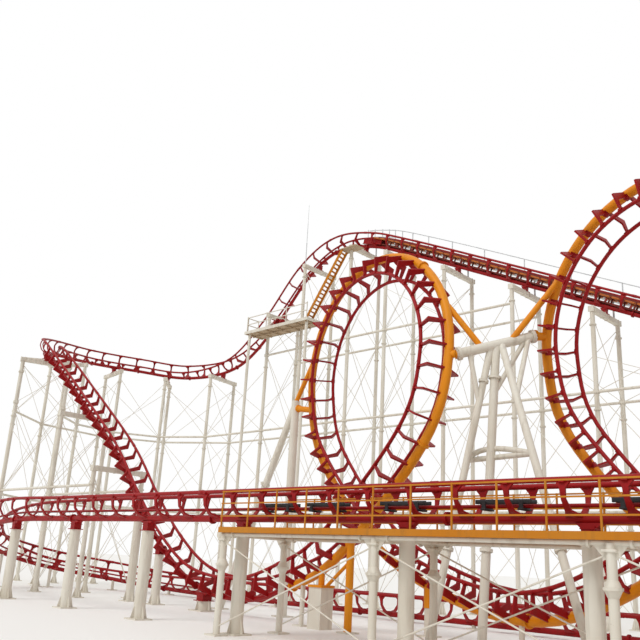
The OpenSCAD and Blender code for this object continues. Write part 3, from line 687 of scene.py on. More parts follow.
def close_tree(tree: Tree, given: bpy.types.Node, shape: Socket) -> None:
    """Ends a tree: instances are made real and the finish is set.

    Args:
        tree: the node tree.
        given: the tree's input node.
        shape: the geometry to finish.
    """
    real = add(tree, "GeometryNodeRealizeInstances", None, {"Geometry": shape})
    painted = add(tree, "GeometryNodeSetMaterial", None,
                  {"Geometry": real.outputs[0], "Material": given.outputs["Finish"]})
    add(tree, "NodeGroupOutput", None, {0: painted.outputs[0]})


def close_on_points(tree: Tree, given: bpy.types.Node, shape: Socket) -> None:
    """Sets a shape on every point, by the point's own turn and size, and ends the tree.

    Args:
        tree: the node tree.
        given: the tree's input node.
        shape: the geometry to set on each point.
    """
    turn = add(tree, "GeometryNodeInputNamedAttribute", {"data_type": "QUATERNION", "Name": "turn"})
    size = add(tree, "GeometryNodeInputNamedAttribute", {"data_type": "FLOAT_VECTOR", "Name": "size"})
    placed = add(tree, "GeometryNodeInstanceOnPoints", None,
                 {"Points": given.outputs["Geometry"], "Instance": shape,
                  "Rotation": turn.outputs["Attribute"], "Scale": size.outputs["Attribute"]})
    close_tree(tree, given, placed.outputs[0])


def sweep_tree() -> Tree:
    """Makes the tree that runs a round tube along every chain of edges.

    Returns:
        The tree.
    """
    tree, given = new_tree("tube along a path", {"Tube radius": "Float", "Tube sides": "Int"})
    path = add(tree, "GeometryNodeMeshToCurve", None, {"Mesh": given.outputs["Geometry"]})
    ring = add(tree, "GeometryNodeCurvePrimitiveCircle", None,
               {"Resolution": given.outputs["Tube sides"], "Radius": given.outputs["Tube radius"]})
    tube = add(tree, "GeometryNodeCurveToMesh", {"Fill Caps": True},
               {"Curve": path.outputs[0], "Profile Curve": ring.outputs["Curve"]})
    close_tree(tree, given, tube.outputs[0])
    return tree


def copies_tree() -> Tree:
    """Makes the tree that sets a shape on every point.

    Returns:
        The tree.
    """
    tree, given = new_tree("shape on each point", {"Shape": "Object"})
    shape = add(tree, "GeometryNodeObjectInfo", None, {"Object": given.outputs["Shape"]})
    close_on_points(tree, given, shape.outputs["Geometry"])
    return tree


def flange_tree() -> Tree:
    """Makes the tree that sets a bolted ring on every point, square to the point's own Z axis.

    Returns:
        The tree.
    """
    tree, given = new_tree("bolted ring on each point", {
        "Ring radius": "Float", "Ring thickness": "Float", "Ring sides": "Int", "Bolt circle": "Float",
        "Bolts": "Int", "Bolt radius": "Float", "Bolt length": "Float"})
    ring = add(tree, "GeometryNodeMeshCylinder", None,
               {"Vertices": given.outputs["Ring sides"], "Radius": given.outputs["Ring radius"],
                "Depth": given.outputs["Ring thickness"]})
    circle = add(tree, "GeometryNodeMeshCircle", None,
                 {"Vertices": given.outputs["Bolts"], "Radius": given.outputs["Bolt circle"]})
    bolt = add(tree, "GeometryNodeMeshCylinder", {"Vertices": HEXAGON},
               {"Radius": given.outputs["Bolt radius"], "Depth": given.outputs["Bolt length"]})
    bolts = add(tree, "GeometryNodeInstanceOnPoints", None,
                {"Points": circle.outputs[0], "Instance": bolt.outputs["Mesh"]})
    whole = add(tree, "GeometryNodeJoinGeometry")
    tree.links.new(ring.outputs["Mesh"], whole.inputs[0])
    tree.links.new(bolts.outputs[0], whole.inputs[0])
    close_on_points(tree, given, whole.outputs[0])
    return tree


@dataclass(frozen=True)
class Flange:
    """Sizes of a bolted ring, in metres."""

    radius: float
    thickness: float
    bolt_circle: float
    bolts: int
    bolt_radius: float
    bolt_length: float
    sides: int = 20


class Workshop:
    """Holds the finishes and node trees, and turns paths, places and shapes into finished pieces."""

    def __init__(self) -> None:
        """Makes every finish and tree once."""
        self.paint = {slot: finish.material() for slot, finish in FINISHES.items()}
        self.cast = DARK_CAST.material()
        self.board = ORANGE_BOARD.material()
        self.sweep = sweep_tree()
        self.copies = copies_tree()
        self.ring = flange_tree()

    def run(self, source: bpy.types.Object, tree: Tree, sizes: dict[str, object]) -> bpy.types.Object:
        """Runs a tree on an object and keeps the result as its plain mesh.

        Args:
            source: the object of edges or points.
            tree: the geometry node tree.
            sizes: values of the tree's named inputs.

        Returns:
            The same object with the finished mesh.
        """
        step = source.modifiers.new("make", "NODES")
        step.node_group = tree
        for item in tree.interface.items_tree:
            if item.in_out == "INPUT" and item.name in sizes:
                step[item.identifier] = sizes[item.name]
        solved = source.evaluated_get(bpy.context.evaluated_depsgraph_get())
        mesh = bpy.data.meshes.new_from_object(solved)
        source.modifiers.remove(step)
        source.data = mesh
        smooth(mesh)
        return source

    def keep(self, piece: bpy.types.Object, nodes: tuple[str, ...]) -> None:
        """Lets a piece ride on the structure and reports it.

        Args:
            piece: the finished piece.
            nodes: CAD nodes that the piece stands for.
        """
        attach(piece, STRUCTURE)
        if nodes:
            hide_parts(*nodes)
        LOG.info("%s: %d faces", piece.name, len(piece.data.polygons))

    def tubes(self, name: str, paths: Paths, radius: float, sides: int, slot: Slot, *nodes: str) -> None:
        """Makes a piece of round tubes along paths."""
        sizes = {"Tube radius": radius, "Tube sides": sides, "Finish": self.paint[slot]}
        self.keep(self.run(wire(name, paths), self.sweep, sizes), nodes)

    def repeat(self, name: str, parts: list[Shape], rows: list[Stand], slot: Slot, *nodes: str,
               finish: bpy.types.Material | None = None) -> None:
        """Makes a piece of copies of a shape.

        Args:
            name: the piece's name.
            parts: what the shape is joined from.
            rows: the copies' places.
            slot: the record's material slot.
            nodes: CAD nodes that the piece stands for.
            finish: a finish other than the slot's own.
        """
        pattern = linked(name + ".pattern", joined(name + ".pattern", parts))
        made = self.run(stands(name, rows), self.copies,
                        {"Shape": pattern, "Finish": finish or self.paint[slot]})
        bpy.data.objects.remove(pattern)
        self.keep(made, nodes)

    def flanges(self, name: str, rows: list[Stand], flange: Flange, slot: Slot) -> None:
        """Makes a piece of bolted rings.

        Args:
            name: the piece's name.
            rows: the rings' places.
            flange: the rings' sizes.
            slot: the record's material slot.
        """
        made = self.run(stands(name, rows), self.ring, {
            "Ring radius": flange.radius, "Ring thickness": flange.thickness, "Ring sides": flange.sides,
            "Bolt circle": flange.bolt_circle, "Bolts": flange.bolts, "Bolt radius": flange.bolt_radius,
            "Bolt length": flange.bolt_length, "Finish": self.paint[slot]})
        self.keep(made, ())

    def finished(self, name: str, parts: list[Shape], slot: Slot, *nodes: str) -> None:
        """Joins shapes that are already in place into one painted piece.

        Args:
            name: the piece's name.
            parts: the shapes, in place.
            slot: the record's material slot.
            nodes: CAD nodes that the piece stands for.
        """
        mesh = joined(name, parts)
        mesh.materials.append(self.paint[slot])
        smooth(mesh, CRISP_ANGLE)
        self.keep(linked(name, mesh), nodes)


def smooth(mesh: bpy.types.Mesh, angle: float = 50.0) -> None:
    """Shades a mesh smooth, with sharp edges where its faces meet at more than an angle."""
    mesh.polygons.foreach_set("use_smooth", [True] * len(mesh.polygons))
    mesh.set_sharp_from_angle(angle=math.radians(angle))


def joined(name: str, parts: list[Shape]) -> bpy.types.Mesh:
    """Puts several shapes into one mesh.

    Args:
        name: the mesh's name.
        parts: the shapes, freed when they are in.

    Returns:
        The new mesh.
    """
    whole = bmesh.new()
    for part in parts:
        scrap = bpy.data.meshes.new("part")
        part.to_mesh(scrap)
        part.free()
        whole.from_mesh(scrap)
        bpy.data.meshes.remove(scrap)
    mesh = bpy.data.meshes.new(name)
    whole.to_mesh(mesh)
    whole.free()
    return mesh


def lofted(rings: list[list[Vector | Triple]]) -> Shape:
    """Joins rings of corners one after another with faces, and closes both ends.

    Args:
        rings: corners of each ring, as many in every ring and in the same order.

    Returns:
        The closed shape.
    """
    shape = bmesh.new()
    rows = [[shape.verts.new(corner) for corner in ring] for ring in rings]
    for a, b in zip(rows, rows[1:]):
        for i in range(len(a)):
            n = (i + 1) % len(a)
            shape.faces.new((a[i], a[n], b[n], b[i]))
    shape.faces.new(list(reversed(rows[0])))
    shape.faces.new(rows[-1])
    bmesh.ops.recalc_face_normals(shape, faces=shape.faces)
    return shape


def plate(outline: list[Pair], thickness: float) -> Shape:
    """Cuts a plate in the XY plane, its thickness centred on Z.

    Args:
        outline: corners, anticlockwise.
        thickness: the plate's thickness.

    Returns:
        The plate.
    """
    shape = bmesh.new()
    face = shape.faces.new([shape.verts.new((x, y, -thickness / 2)) for x, y in outline])
    lifted = bmesh.ops.extrude_face_region(shape, geom=[face])
    top = [v for v in lifted["geom"] if isinstance(v, bmesh.types.BMVert)]
    bmesh.ops.translate(shape, verts=top, vec=(0, 0, thickness))
    bmesh.ops.recalc_face_normals(shape, faces=shape.faces)
    return shape


def box(size: Triple, at: Triple, bevel: float = 0.0) -> Shape:
    """Makes a block centred on a point, with a chamfer along its edges where one is asked for.

    Args:
        size: its X, Y and Z.
        at: its centre.
        bevel: the chamfer's width, zero for sharp edges.

    Returns:
        The block.
    """
    x, y = size[0] / 2, size[1] / 2
    shape = plate([(-x, -y), (x, -y), (x, y), (-x, y)], size[2])
    if bevel > 0:
        bmesh.ops.bevel(shape, geom=shape.edges[:], offset=bevel, segments=1, affect="EDGES", profile=0.5)
    return moved(shape, at)


def lathed(profile: list[Pair], sides: int) -> Shape:
    """Turns a profile of radius and height about Z, and closes its ends.

    Args:
        profile: pairs of radius and height, from the bottom up.
        sides: corners of each ring.

    Returns:
        The solid.
    """
    angles = [2 * math.pi * k / sides for k in range(sides)]
    return lofted([[(radius * math.cos(a), radius * math.sin(a), height) for a in angles]
                   for radius, height in profile])


def arched(inner: float, outer: float, width: float, arc: Pair) -> Shape:
    """Bends a flat strip round Z between two angles in degrees, its width centred on Z.

    Args:
        inner: the inner radius.
        outer: the outer radius.
        width: the strip's width.
        arc: the first and last angle.

    Returns:
        The strip.
    """
    outline = []
    for radius, order in ((outer, range(ARCH_STEPS + 1)), (inner, range(ARCH_STEPS, -1, -1))):
        for k in order:
            angle = math.radians(arc[0] + (arc[1] - arc[0]) * k / ARCH_STEPS)
            outline.append((radius * math.cos(angle), radius * math.sin(angle)))
    return plate(outline, width)


def moved(shape: Shape, at: Triple) -> Shape:
    """Moves a shape."""
    bmesh.ops.translate(shape, verts=shape.verts, vec=at)
    return shape


def turned(shape: Shape, angle: float, axis: str) -> Shape:
    """Turns a shape about an axis through the origin, by degrees.

    Args:
        shape: the shape.
        angle: how far, in degrees.
        axis: X, Y or Z.

    Returns:
        The same shape.
    """
    matrix = Matrix.Rotation(math.radians(angle), 3, axis)
    bmesh.ops.rotate(shape, verts=shape.verts, cent=(0, 0, 0), matrix=matrix)
    return shape


def strap(path: list[Triple], thickness: float) -> Shape:
    """Bends a flat bar of changing width along a path in the XY plane.

    Args:
        path: rows of X, Y and half the width along Z.
        thickness: the bar's thickness.

    Returns:
        The new shape.
    """
    rings = []
    for k, (x, y, half) in enumerate(path):
        ax, ay, _ = path[max(k - 1, 0)]
        bx, by, _ = path[min(k + 1, len(path) - 1)]
        reach = thickness / 2 / math.hypot(bx - ax, by - ay)
        nx, ny = (by - ay) * reach, (ax - bx) * reach
        rings.append([(x + nx, y + ny, half), (x + nx, y + ny, -half), (x - nx, y - ny, -half),
                      (x - nx, y - ny, half)])
    return lofted(rings)


def ribbon(track: Track, stretch: Pair, across: Pair, rise: Pair) -> Shape:
    """Runs a bar of rectangular section along the track.

    Args:
        track: the circuit's reader.
        stretch: where the bar starts and ends, in knots.
        across: its two sides, from the track's middle.
        rise: its underside and top, from the rail plane.

    Returns:
        The bar.
    """
    corners = [(across[0], rise[0]), (across[1], rise[0]), (across[1], rise[1]), (across[0], rise[1])]
    lines = [track.line(*stretch, *corner, track.FINE) for corner in corners]
    return lofted([list(ring) for ring in zip(*lines)])


class Tie(Enum):
    """Kinds of ties."""

    POINTED = "flat plate with pointed corners"
    FLARED = "two bent straps that widen at rail and spine"


@dataclass(frozen=True)
class TrackSection:
    """One section of the circuit: two rails, the spine under them and the ties between them."""

    name: str
    first: float
    last: float
    spine_r: float = 0.055
    tie_pitch: float = 0.68
    spine_slot: Slot = Slot.RED
    steps: int = 12
    kind: Tie = Tie.FLARED
    rings: tuple[float, ...] = ()
    gauge: float = 0.55
    rail_r: float = 0.032
    rail_sides: int = 12
    spine_sides: int = 20
    plate_t: float = 0.03
    strap_t: float = 0.026
    tie_inside: Pairs = ((0.3, 0.01), (0.25, 0.01), (0.275, -0.2), (0.05, -0.32))
    tie_outside: Pairs = ((0.05, -0.41), (0.37, -0.29))
    leg_path: Triples = (
        (0.275, -0.02, 0.085), (0.292, -0.09, 0.034), (0.276, -0.2, 0.026), (0.18, -0.31, 0.036),
        (0.045, -0.365, 0.105))
    weld: float = 0.002
    saddle_t: float = 0.01
    saddle_width: float = 0.085
    saddle_arc: Pair = (200, 340)
    lug: Triple = (0.034, 0.03, 0.06)
    lug_out: float = 0.03
    lug_down: float = 0.016
    yoke_t: float = 0.011
    yoke_width: float = 0.09
    yoke_arc: Pair = (20, 160)
    sleeve: Pairs = ((0.001, -0.06), (0.005, -0.054), (0.005, 0.054), (0.001, 0.06))
    flange_rim: float = 0.028
    flange_t: float = 0.036
    bolts_out: float = 0.015
    bolts: int = 10
    bolt_r: float = 0.007
    bolt_length: float = 0.056

    def plates(self) -> list[Shape]:
        """Cuts what joins rails and spine in one tie.

        Returns:
            One flat plate, or two straps.
        """
        if self.kind is Tie.FLARED:
            paths = [[(side * x, y, half) for x, y, half in self.leg_path] for side in SIDES]
            return [strap(path, self.strap_t) for path in paths]
        inside, outside = list(self.tie_inside), list(self.tie_outside)
        left = [(-x, y) for x, y in reversed(outside + inside)]
        return [plate(inside + left + outside, self.plate_t)]

    def tie(self) -> list[Shape]:
        """Makes one tie: plates, saddles under the rails with lugs, and a yoke over the spine.

        Returns:
            The tie's parts, X across the track and Y up from the rail plane.
        """
        parts = self.plates()
        for side in SIDES:
            saddle = arched(self.rail_r - self.weld, self.rail_r + self.saddle_t, self.saddle_width,
                            self.saddle_arc)
            parts.append(moved(saddle, (side * self.gauge / 2, 0, 0)))
            parts.append(box(self.lug, (side * (self.gauge / 2 + self.lug_out), -self.lug_down, 0)))
        yoke = arched(self.spine_r - self.weld, self.spine_r + self.yoke_t, self.yoke_width, self.yoke_arc)
        return parts + [moved(yoke, (0, -SPINE_DROP, 0))]

    def build(self, track: Track, shop: Workshop) -> None:
        """Builds the section's rails, spine, ties and joints.

        Args:
            track: the circuit's reader.
            shop: the workshop with finishes and trees.
        """
        rails = [track.line(self.first, self.last, side * self.gauge / 2, 0.0, self.steps) for side in SIDES]
        shop.tubes(self.name + "_running_rails", rails, self.rail_r, self.rail_sides, Slot.RED,
                   self.name + "_rails")
        spine = [track.line(self.first, self.last, 0.0, -SPINE_DROP, self.steps)]
        shop.tubes(self.name + "_backbone", spine, self.spine_r, self.spine_sides, self.spine_slot,
                   self.name + "_spine")
        rows = track.stands(track.even(self.first, self.last, self.tie_pitch))
        shop.repeat(self.name + "_welded_ties", self.tie(), rows, Slot.RED, self.name + "_ties")
        self.joints(track, shop)

    def joints(self, track: Track, shop: Workshop) -> None:
        """Sets a bolted flange on the spine and a sleeve on each rail, at the given places or each knot.

        Args:
            track: the circuit's reader.
            shop: the workshop with finishes and trees.
        """
        ends = self.rings or range(math.ceil(self.first), math.floor(self.last))
        flange = Flange(self.spine_r + self.flange_rim, self.flange_t, self.spine_r + self.bolts_out,
                        self.bolts, self.bolt_r, self.bolt_length)
        rings = track.stands(ends, 0.0, -SPINE_DROP)
        shop.flanges(self.name + "_spine_flanges", rings, flange, self.spine_slot)
        sleeve = lathed([(self.rail_r + out, along) for out, along in self.sleeve], self.rail_sides)
        rows = [row for s in ends for side in SIDES for row in track.stands([s], side * self.gauge / 2)]
        shop.repeat(self.name + "_rail_sleeves", [sleeve], rows, Slot.RED)


LOOP = {"spine_r": 0.078, "tie_pitch": 0.36, "spine_slot": Slot.YELLOW, "steps": 8, "kind": Tie.POINTED}
LIFT_SECTION = TrackSection("lift", 9, 14)
SECTIONS = (
    TrackSection("station", 0, 9), LIFT_SECTION, TrackSection("first_drop", 14, 18, kind=Tie.POINTED),
    TrackSection("high_turn", 18, 24, tie_pitch=0.6),
    TrackSection("second_drop", 24, 31, tie_pitch=0.45, kind=Tie.POINTED),
    TrackSection("loop_one", 31, 43, rings=(31.05, 33.0, 35.65, 38.35, 41.0), **LOOP),
    TrackSection("loop_two", 43, 55, rings=(43.05, 45.0, 47.65, 54.9), **LOOP),
    TrackSection("return_turn", 55, 64), TrackSection("brake_run", 64, 69), TrackSection("low_turn", 69, 75),
)


@dataclass(frozen=True)
class Builder:
    """What each sub-assembly off the track builds with: the circuit's reader, and the workshop."""

    track: Track
    shop: Workshop


@dataclass(frozen=True)
class Supports(Builder):
    """The columns' fittings: brackets, collars, stiffeners, gussets, and the rods that brace them."""

    portal_half: float = 0.7
    portal_r: float = 0.055
    beam: float = 0.12
    spine_r: float = 0.055
    bracket_h: float = 0.15
    bracket_sunk: float = 0.004
    portal_bracket: float = 0.66
    storey: float = 2.6
    first_level: float = 0.2
    least_storey: float = 0.9
    level_gap: float = 0.1
    least_cross: float = 0.8
    rod_r: float = 0.008
    rod_sides: int = 6
    base_t: float = 0.025
    lift_x: float = 11.8
    lift_pitch: float = 2.15
    lift_portals: int = 10
    lift_stretch: Pair = (9.5, 14.0)
    crest: tuple[float, ...] = (14.05, 15.6)
    turn: tuple[float, ...] = (16.7, 18.3, 19.4, 20.5, 21.6, 22.7, 23.7, 25.1, 26.1)
    drop_columns: tuple[float, ...] = (27, 27.9)
    pillars: tuple[float, ...] = (29.2, 55.6)
    turn_columns: tuple[float, ...] = (57.2, 58.3, 59.4, 60.4, 61.4, 62.4, 63.3)
    brake_columns: tuple[float, ...] = (64.3, 64.9, 65.56, 66.14, 66.83, 67.38, 67.96, 68.95)
    column_r: float = 0.1
    pillar_r: float = 0.15
    bracket_blocks: Triples = ((0.21, 0.016, 0.008), (0.15, 0.125, 0.07), (0.17, 0.012, 0.105))
    saddle: Pairs = ((-0.075, 0.1), (0.075, 0.1), (0.15, 0.165), (-0.15, 0.165))
    saddle_t: float = 0.11
    beam_plate: float = 0.144
    beam_plate_t: float = 0.01
    beam_plates: tuple[float, ...] = (-0.765, -0.64, -0.12, 0.12, 0.64, 0.765)
    collar: Flange = Flange(0.081, 0.03, 0.069, 8, 0.006, 0.046, 16)
    collar_under_level: float = 0.42
    collar_under_top: float = 0.33
    level_collar_height: float = 2.2
    least_top: float = 1.4
    gusset: Pairs = ((-0.01, 0), (0.062, 0), (0.062, 0.014), (0.012, 0.17), (-0.01, 0.17))
    gusset_t: float = 0.01
    single_gusset: float = 1.1

    def lift(self) -> list[float]:
        """Finds the lift's portals, evenly spaced along X.

        Returns:
            Their places, in knots.
        """
        low, high = self.lift_stretch
        places = [high - k / self.track.FINE for k in range(round((high - low) * self.track.FINE) + 1)]
        rows = sorted((self.track.curve(self.track.places, s).x, s) for s in places)
        return [reading(self.lift_x - k * self.lift_pitch, rows) for k in range(self.lift_portals)]

    def portals(self) -> list[float]:
        """Lists all portals in order of travel."""
        return self.lift() + list(self.crest) + list(self.turn)

    def beam_top(self, s: float) -> float:
        """Gives the height of the top of what carries the track at s."""
        return self.track.spine(s).z - self.spine_r - self.bracket_h

    def beside(self, s: float, across: float, height: float) -> Vector:
        """Gives a point at a height, level with s and to one side of it."""
        at, a = self.track.spine(s), self.track.heading(s)
        return Vector((at.x - across * math.sin(a), at.y + across * math.cos(a), height))

    def feet(self, s: float) -> list[Vector]:
        """Gives the two feet of a portal."""
        return [self.beside(s, side * self.portal_half, 0) for side in SIDES]

    def singles(self) -> list[Pair]:
        """Lists the single columns as places and radii."""
        thin = self.drop_columns + self.turn_columns + self.brake_columns
        return [(s, self.column_r) for s in thin] + [(s, self.pillar_r) for s in self.pillars]

    def brackets(self) -> None:
        """Sets brackets under the spine: a foot plate, a box, a rib plate and a flared saddle."""
        parts = [box((wide, wide, high), (0, 0, z)) for wide, high, z in self.bracket_blocks]
        parts.append(turned(plate(list(self.saddle), self.saddle_t), 90, "X"))
        sizes = [(s, (self.portal_bracket, 1.0, 1.0)) for s in self.portals()]
        sizes += [(s, (radius / self.column_r, radius / self.column_r, 1.0)) for s, radius in self.singles()]
        rows = [Stand(self.beside(s, 0, self.beam_top(s) - self.bracket_sunk),
                      Quaternion(UP, self.track.heading(s)), size) for s, size in sizes]
        self.shop.repeat("spine_brackets", parts, rows, Slot.RED, "track_brackets")

    def build(self) -> None:
        """Builds the fittings of all columns."""
        for make in (self.brackets, self.stiffeners, self.collars, self.gussets, self.rods):
            make()

    def stiffeners(self) -> None:
        """Sets end plates and cross plates on the portals' beams."""
        rows = [Stand(self.beside(s, y, self.beam_top(s) - self.beam / 2),
                      Quaternion(UP, self.track.heading(s)))
                for s in self.portals() for y in self.beam_plates]
        shape = box((self.beam_plate, self.beam_plate_t, self.beam_plate), (0, 0, 0))
        self.shop.repeat("beam_plates", [shape], rows, Slot.WHITE)

    def levels(self, top: float) -> list[float]:
        """Lists the heights of the storeys up to a top, from the ground.

        Args:
            top: the underside of the beam.

        Returns:
            Heights from the ground up.
        """
        marks = [self.first_level]
        while marks[-1] + self.storey < top - self.least_storey:
            marks.append(round(marks[-1] / self.storey + 1) * self.storey)
        return marks + [top - self.level_gap]

    def collars(self) -> None:
        """Sets bolted rings where the portals' columns are joined."""
        rows = []
        for s in self.portals():
            top = self.beam_top(s) - self.beam
            for foot in self.feet(s):
                for level in self.levels(top)[1:-1]:
                    rows.append(Stand(foot + UP * (level - self.collar_under_level)))
                    rows.append(Stand(foot + UP * level, size=(1.0, 1.0, self.level_collar_height)))
                if top > self.least_top:
                    rows.append(Stand(foot + UP * (top - self.collar_under_top)))
        self.shop.flanges("column_collars", rows, self.collar, Slot.WHITE)

    def gussets(self) -> None:
        """Sets four triangular plates round the foot of every column."""
        feet = [(foot, self.portal_r, 1.0) for s in self.portals() for foot in self.feet(s)]
        feet += [(self.track.spine(s), radius, self.single_gusset) for s, radius in self.singles()]
        rows = []
        for foot, radius, high in feet:
            for k in range(4):
                turn = Quaternion(UP, math.pi / 2 * k)
                place = Vector((foot.x, foot.y, self.base_t)) + turn @ Vector((radius, 0, 0))
                rows.append(Stand(place, turn, (1.0, 1.0, high)))
        shape = turned(plate(list(self.gusset), self.gusset_t), 90, "X")
        self.shop.repeat("foot_gussets", [shape], rows, Slot.WHITE)

    def rods(self) -> None:
        """Crosses thin rods in every storey, between portals and inside each."""
        paths = []
        portals = self.portals()
        for s, t in zip(portals, portals[1:]):
            top = min(self.beam_top(s), self.beam_top(t)) - self.beam
            for a, b in zip(self.feet(s), self.feet(t)):
                paths += self.crossed(a, b, self.levels(top))
        for s in portals:
            paths += self.crossed(*self.feet(s), self.levels(self.beam_top(s) - self.beam))
        self.shop.tubes("cross_rods", paths, self.rod_r, self.rod_sides, Slot.WHITE)

    def crossed(self, a: Vector, b: Vector, marks: list[float]) -> Paths:
        """Gives the two rods of each storey between two feet.

        Args:
            a: one foot.
            b: the other foot.
            marks: the heights of the storeys.

        Returns:
            Paths of two points.
        """
        storeys = [(low, high) for low, high in zip(marks, marks[1:]) if high - low > self.least_cross]
        ways = [way for low, high in storeys for way in ((low, high), (high, low))]
        return [[a + UP * start, b + UP * end] for start, end in ways]


@dataclass(frozen=True)
class LoopTower(Builder):
    """The three-legged tower between the loops and the frames outside them."""

    left_end: Triple = (-0.33, -0.14, 4.37)
    right_end: Triple = (0.48, 0.91, 4.8)
    feet: Pairs = ((0, 0), (-0.52, -0.58), (2.1, -0.85))
    spread: Triple = (0.06, 0.06, 0.03)
    leg_r: tuple[float, ...] = (0.068, 0.056, 0.056)
    frames: tuple[tuple[float, ...], ...] = ((-5.5, 1.3, 4.4, -2.0), (5.68, -0.5, 4.0, 1.85))
    side_leg_r: float = 0.074
    side_leg_sides: int = 18
    side_leg_top: float = 0.06
    branch_r: float = 0.04
    branch_sides: int = 16
    branch_meets: float = 0.79
    centre_branch_over: float = 0.03
    branch_inset: float = 0.08
    branch_starts: Triple = (2.0, 1.0, 1.4)
    pipe_r: float = 0.042
    pipe_sides: int = 14
    pipe_meets: float = 0.59
    pipe_behind: Triple = (-0.06, 0.06, 0.0)
    pipe_rises: Pair = (0.19, 0.05)
    pipe_steps: int = 14
    leg_start: float = 0.045
    neck: Pairs = ((0.1, 0.0), (0.1, 0.1), (0.086, 0.11), (0.07, 0.4), (0.066, 1.0))
    neck_sides: int = 24
    necks: Pairs = ((34.0, 0.78), (51.667, 1.0), (40.2, 0.8), (45.8, 0.8))
    neck_in: float = 0.08
    neck_down: float = 0.17
    neck_short: float = 0.05
    leg_rings: tuple[tuple[int, float], ...] = ((0, 0.88), (1, 0.87), (0, 0.3), (1, 0.3), (2, 0.3))
    frame_ring_z: float = 2.5
    side_leg_ring: float = 0.6
    ring: Flange = Flange(0.106, 0.04, 0.09, 10, 0.009, 0.062, 24)
    tube_ring: Flange = Flange(0.112, 0.05, 0.096, 12, 0.01, 0.075, 24)
    tube_rings: Pair = (0.03, 0.97)

    def legs(self) -> list[tuple[Vector, Vector]]:
        """Gives foot and head of the centre, left and right leg.

        Returns:
            Pairs of foot and head.
        """
        middle = (Vector(self.left_end) + Vector(self.right_end)) / 2
        heads = (middle, middle - Vector(self.spread), middle + Vector(self.spread))
        return [(Vector((*foot, 0.0)), head) for foot, head in zip(self.feet, heads)]

    def on_leg(self, leg: int, part: float) -> Vector:
        """Gives a point on a leg by its share of the way up."""
        foot, head = self.legs()[leg]
        return foot.lerp(head, part)

    def curved(self, start: Vector, through: Vector, end: Vector) -> list[Vector]:
        """Bends a path from start to end so that its middle passes through a point.

        Args:
            start: the first point.
            through: the point at its middle.
            end: the last point.

        Returns:
            The path's points.
        """
        pull = through * 2 - (start + end) / 2
        shares = [k / self.pipe_steps for k in range(self.pipe_steps + 1)]
        return [start.lerp(pull, t).lerp(pull.lerp(end, t), t) for t in shares]

    def flared_necks(self) -> None:
        """Sets a flared yellow neck between a loop and each end of the tube and each side frame."""
        ends = [Vector(self.left_end), Vector(self.right_end)]
        for x, y, z, _ in self.frames:
            ends.append(Vector((x + math.copysign(self.neck_in, -x), y, z - self.neck_down)))
        rows = []
        for (s, wide), end in zip(self.necks, ends):
            way = self.track.spine(s) - end
            rows.append(Stand(end, way.to_track_quat("Z", "Y"), (wide, wide, way.length - self.neck_short)))
        self.shop.repeat("tube_necks", [lathed(list(self.neck), self.neck_sides)], rows, Slot.YELLOW)

    def build(self) -> None:
        """Builds branches, curved cross pipes, side legs, necks and bolted rings."""
        left, right = Vector(self.left_end), Vector(self.right_end)
        inset = (right - left) * self.branch_inset
        first, second, third = self.branch_starts
        branches = [[left + inset * first, self.on_leg(1, self.branch_meets)],
                    [right - inset * second, self.on_leg(2, self.branch_meets)],
                    [right - inset * third, self.on_leg(0, self.branch_meets + self.centre_branch_over)]]
        a, b, c = (self.on_leg(leg, self.pipe_meets) for leg in (1, 2, 0))
        pipes = [self.curved(a, c + Vector(self.pipe_behind) + UP * rise, b) for rise in self.pipe_rises]
        slanted = []
        for x, y, z, reach in self.frames:
            foot, head = Vector((x + reach, y, 0)), Vector((x, y, z - self.side_leg_top))
            slanted.append([foot.lerp(head, self.leg_start / head.z), head])
        self.shop.tubes("loop_branches", branches, self.branch_r, self.branch_sides, Slot.WHITE)
        self.shop.tubes("loop_side_legs", slanted, self.side_leg_r, self.side_leg_sides, Slot.WHITE)
        self.shop.tubes("loop_curved_pipes", pipes, self.pipe_r, self.pipe_sides, Slot.WHITE, "loop_braces")
        self.flared_necks()
        self.rings()

    def rings(self) -> None:
        """Sets bolted rings on legs, tube ends and side frames."""
        rows = []
        for leg, share in self.leg_rings:
            foot, head = self.legs()[leg]
            wide = self.leg_r[leg] / self.side_leg_r
            turn = (head - foot).to_track_quat("Z", "Y")
            rows.append(Stand(foot.lerp(head, share), turn, (wide, wide, 1.0)))
        for x, y, z, reach in self.frames:
            rows.append(Stand(Vector((x, y, self.frame_ring_z))))
            foot, head = Vector((x + reach, y, 0)), Vector((x, y, z))
            rows.append(Stand(foot.lerp(head, self.side_leg_ring), (head - foot).to_track_quat("Z", "Y")))
        self.shop.flanges("tower_rings", rows, self.ring, Slot.WHITE)
        left, right = Vector(self.left_end), Vector(self.right_end)
        turn = (right - left).to_track_quat("Z", "Y")
        rows = [Stand(left.lerp(right, share), turn) for share in self.tube_rings]
        self.shop.flanges("tube_end_rings", rows, self.tube_ring, Slot.WHITE)


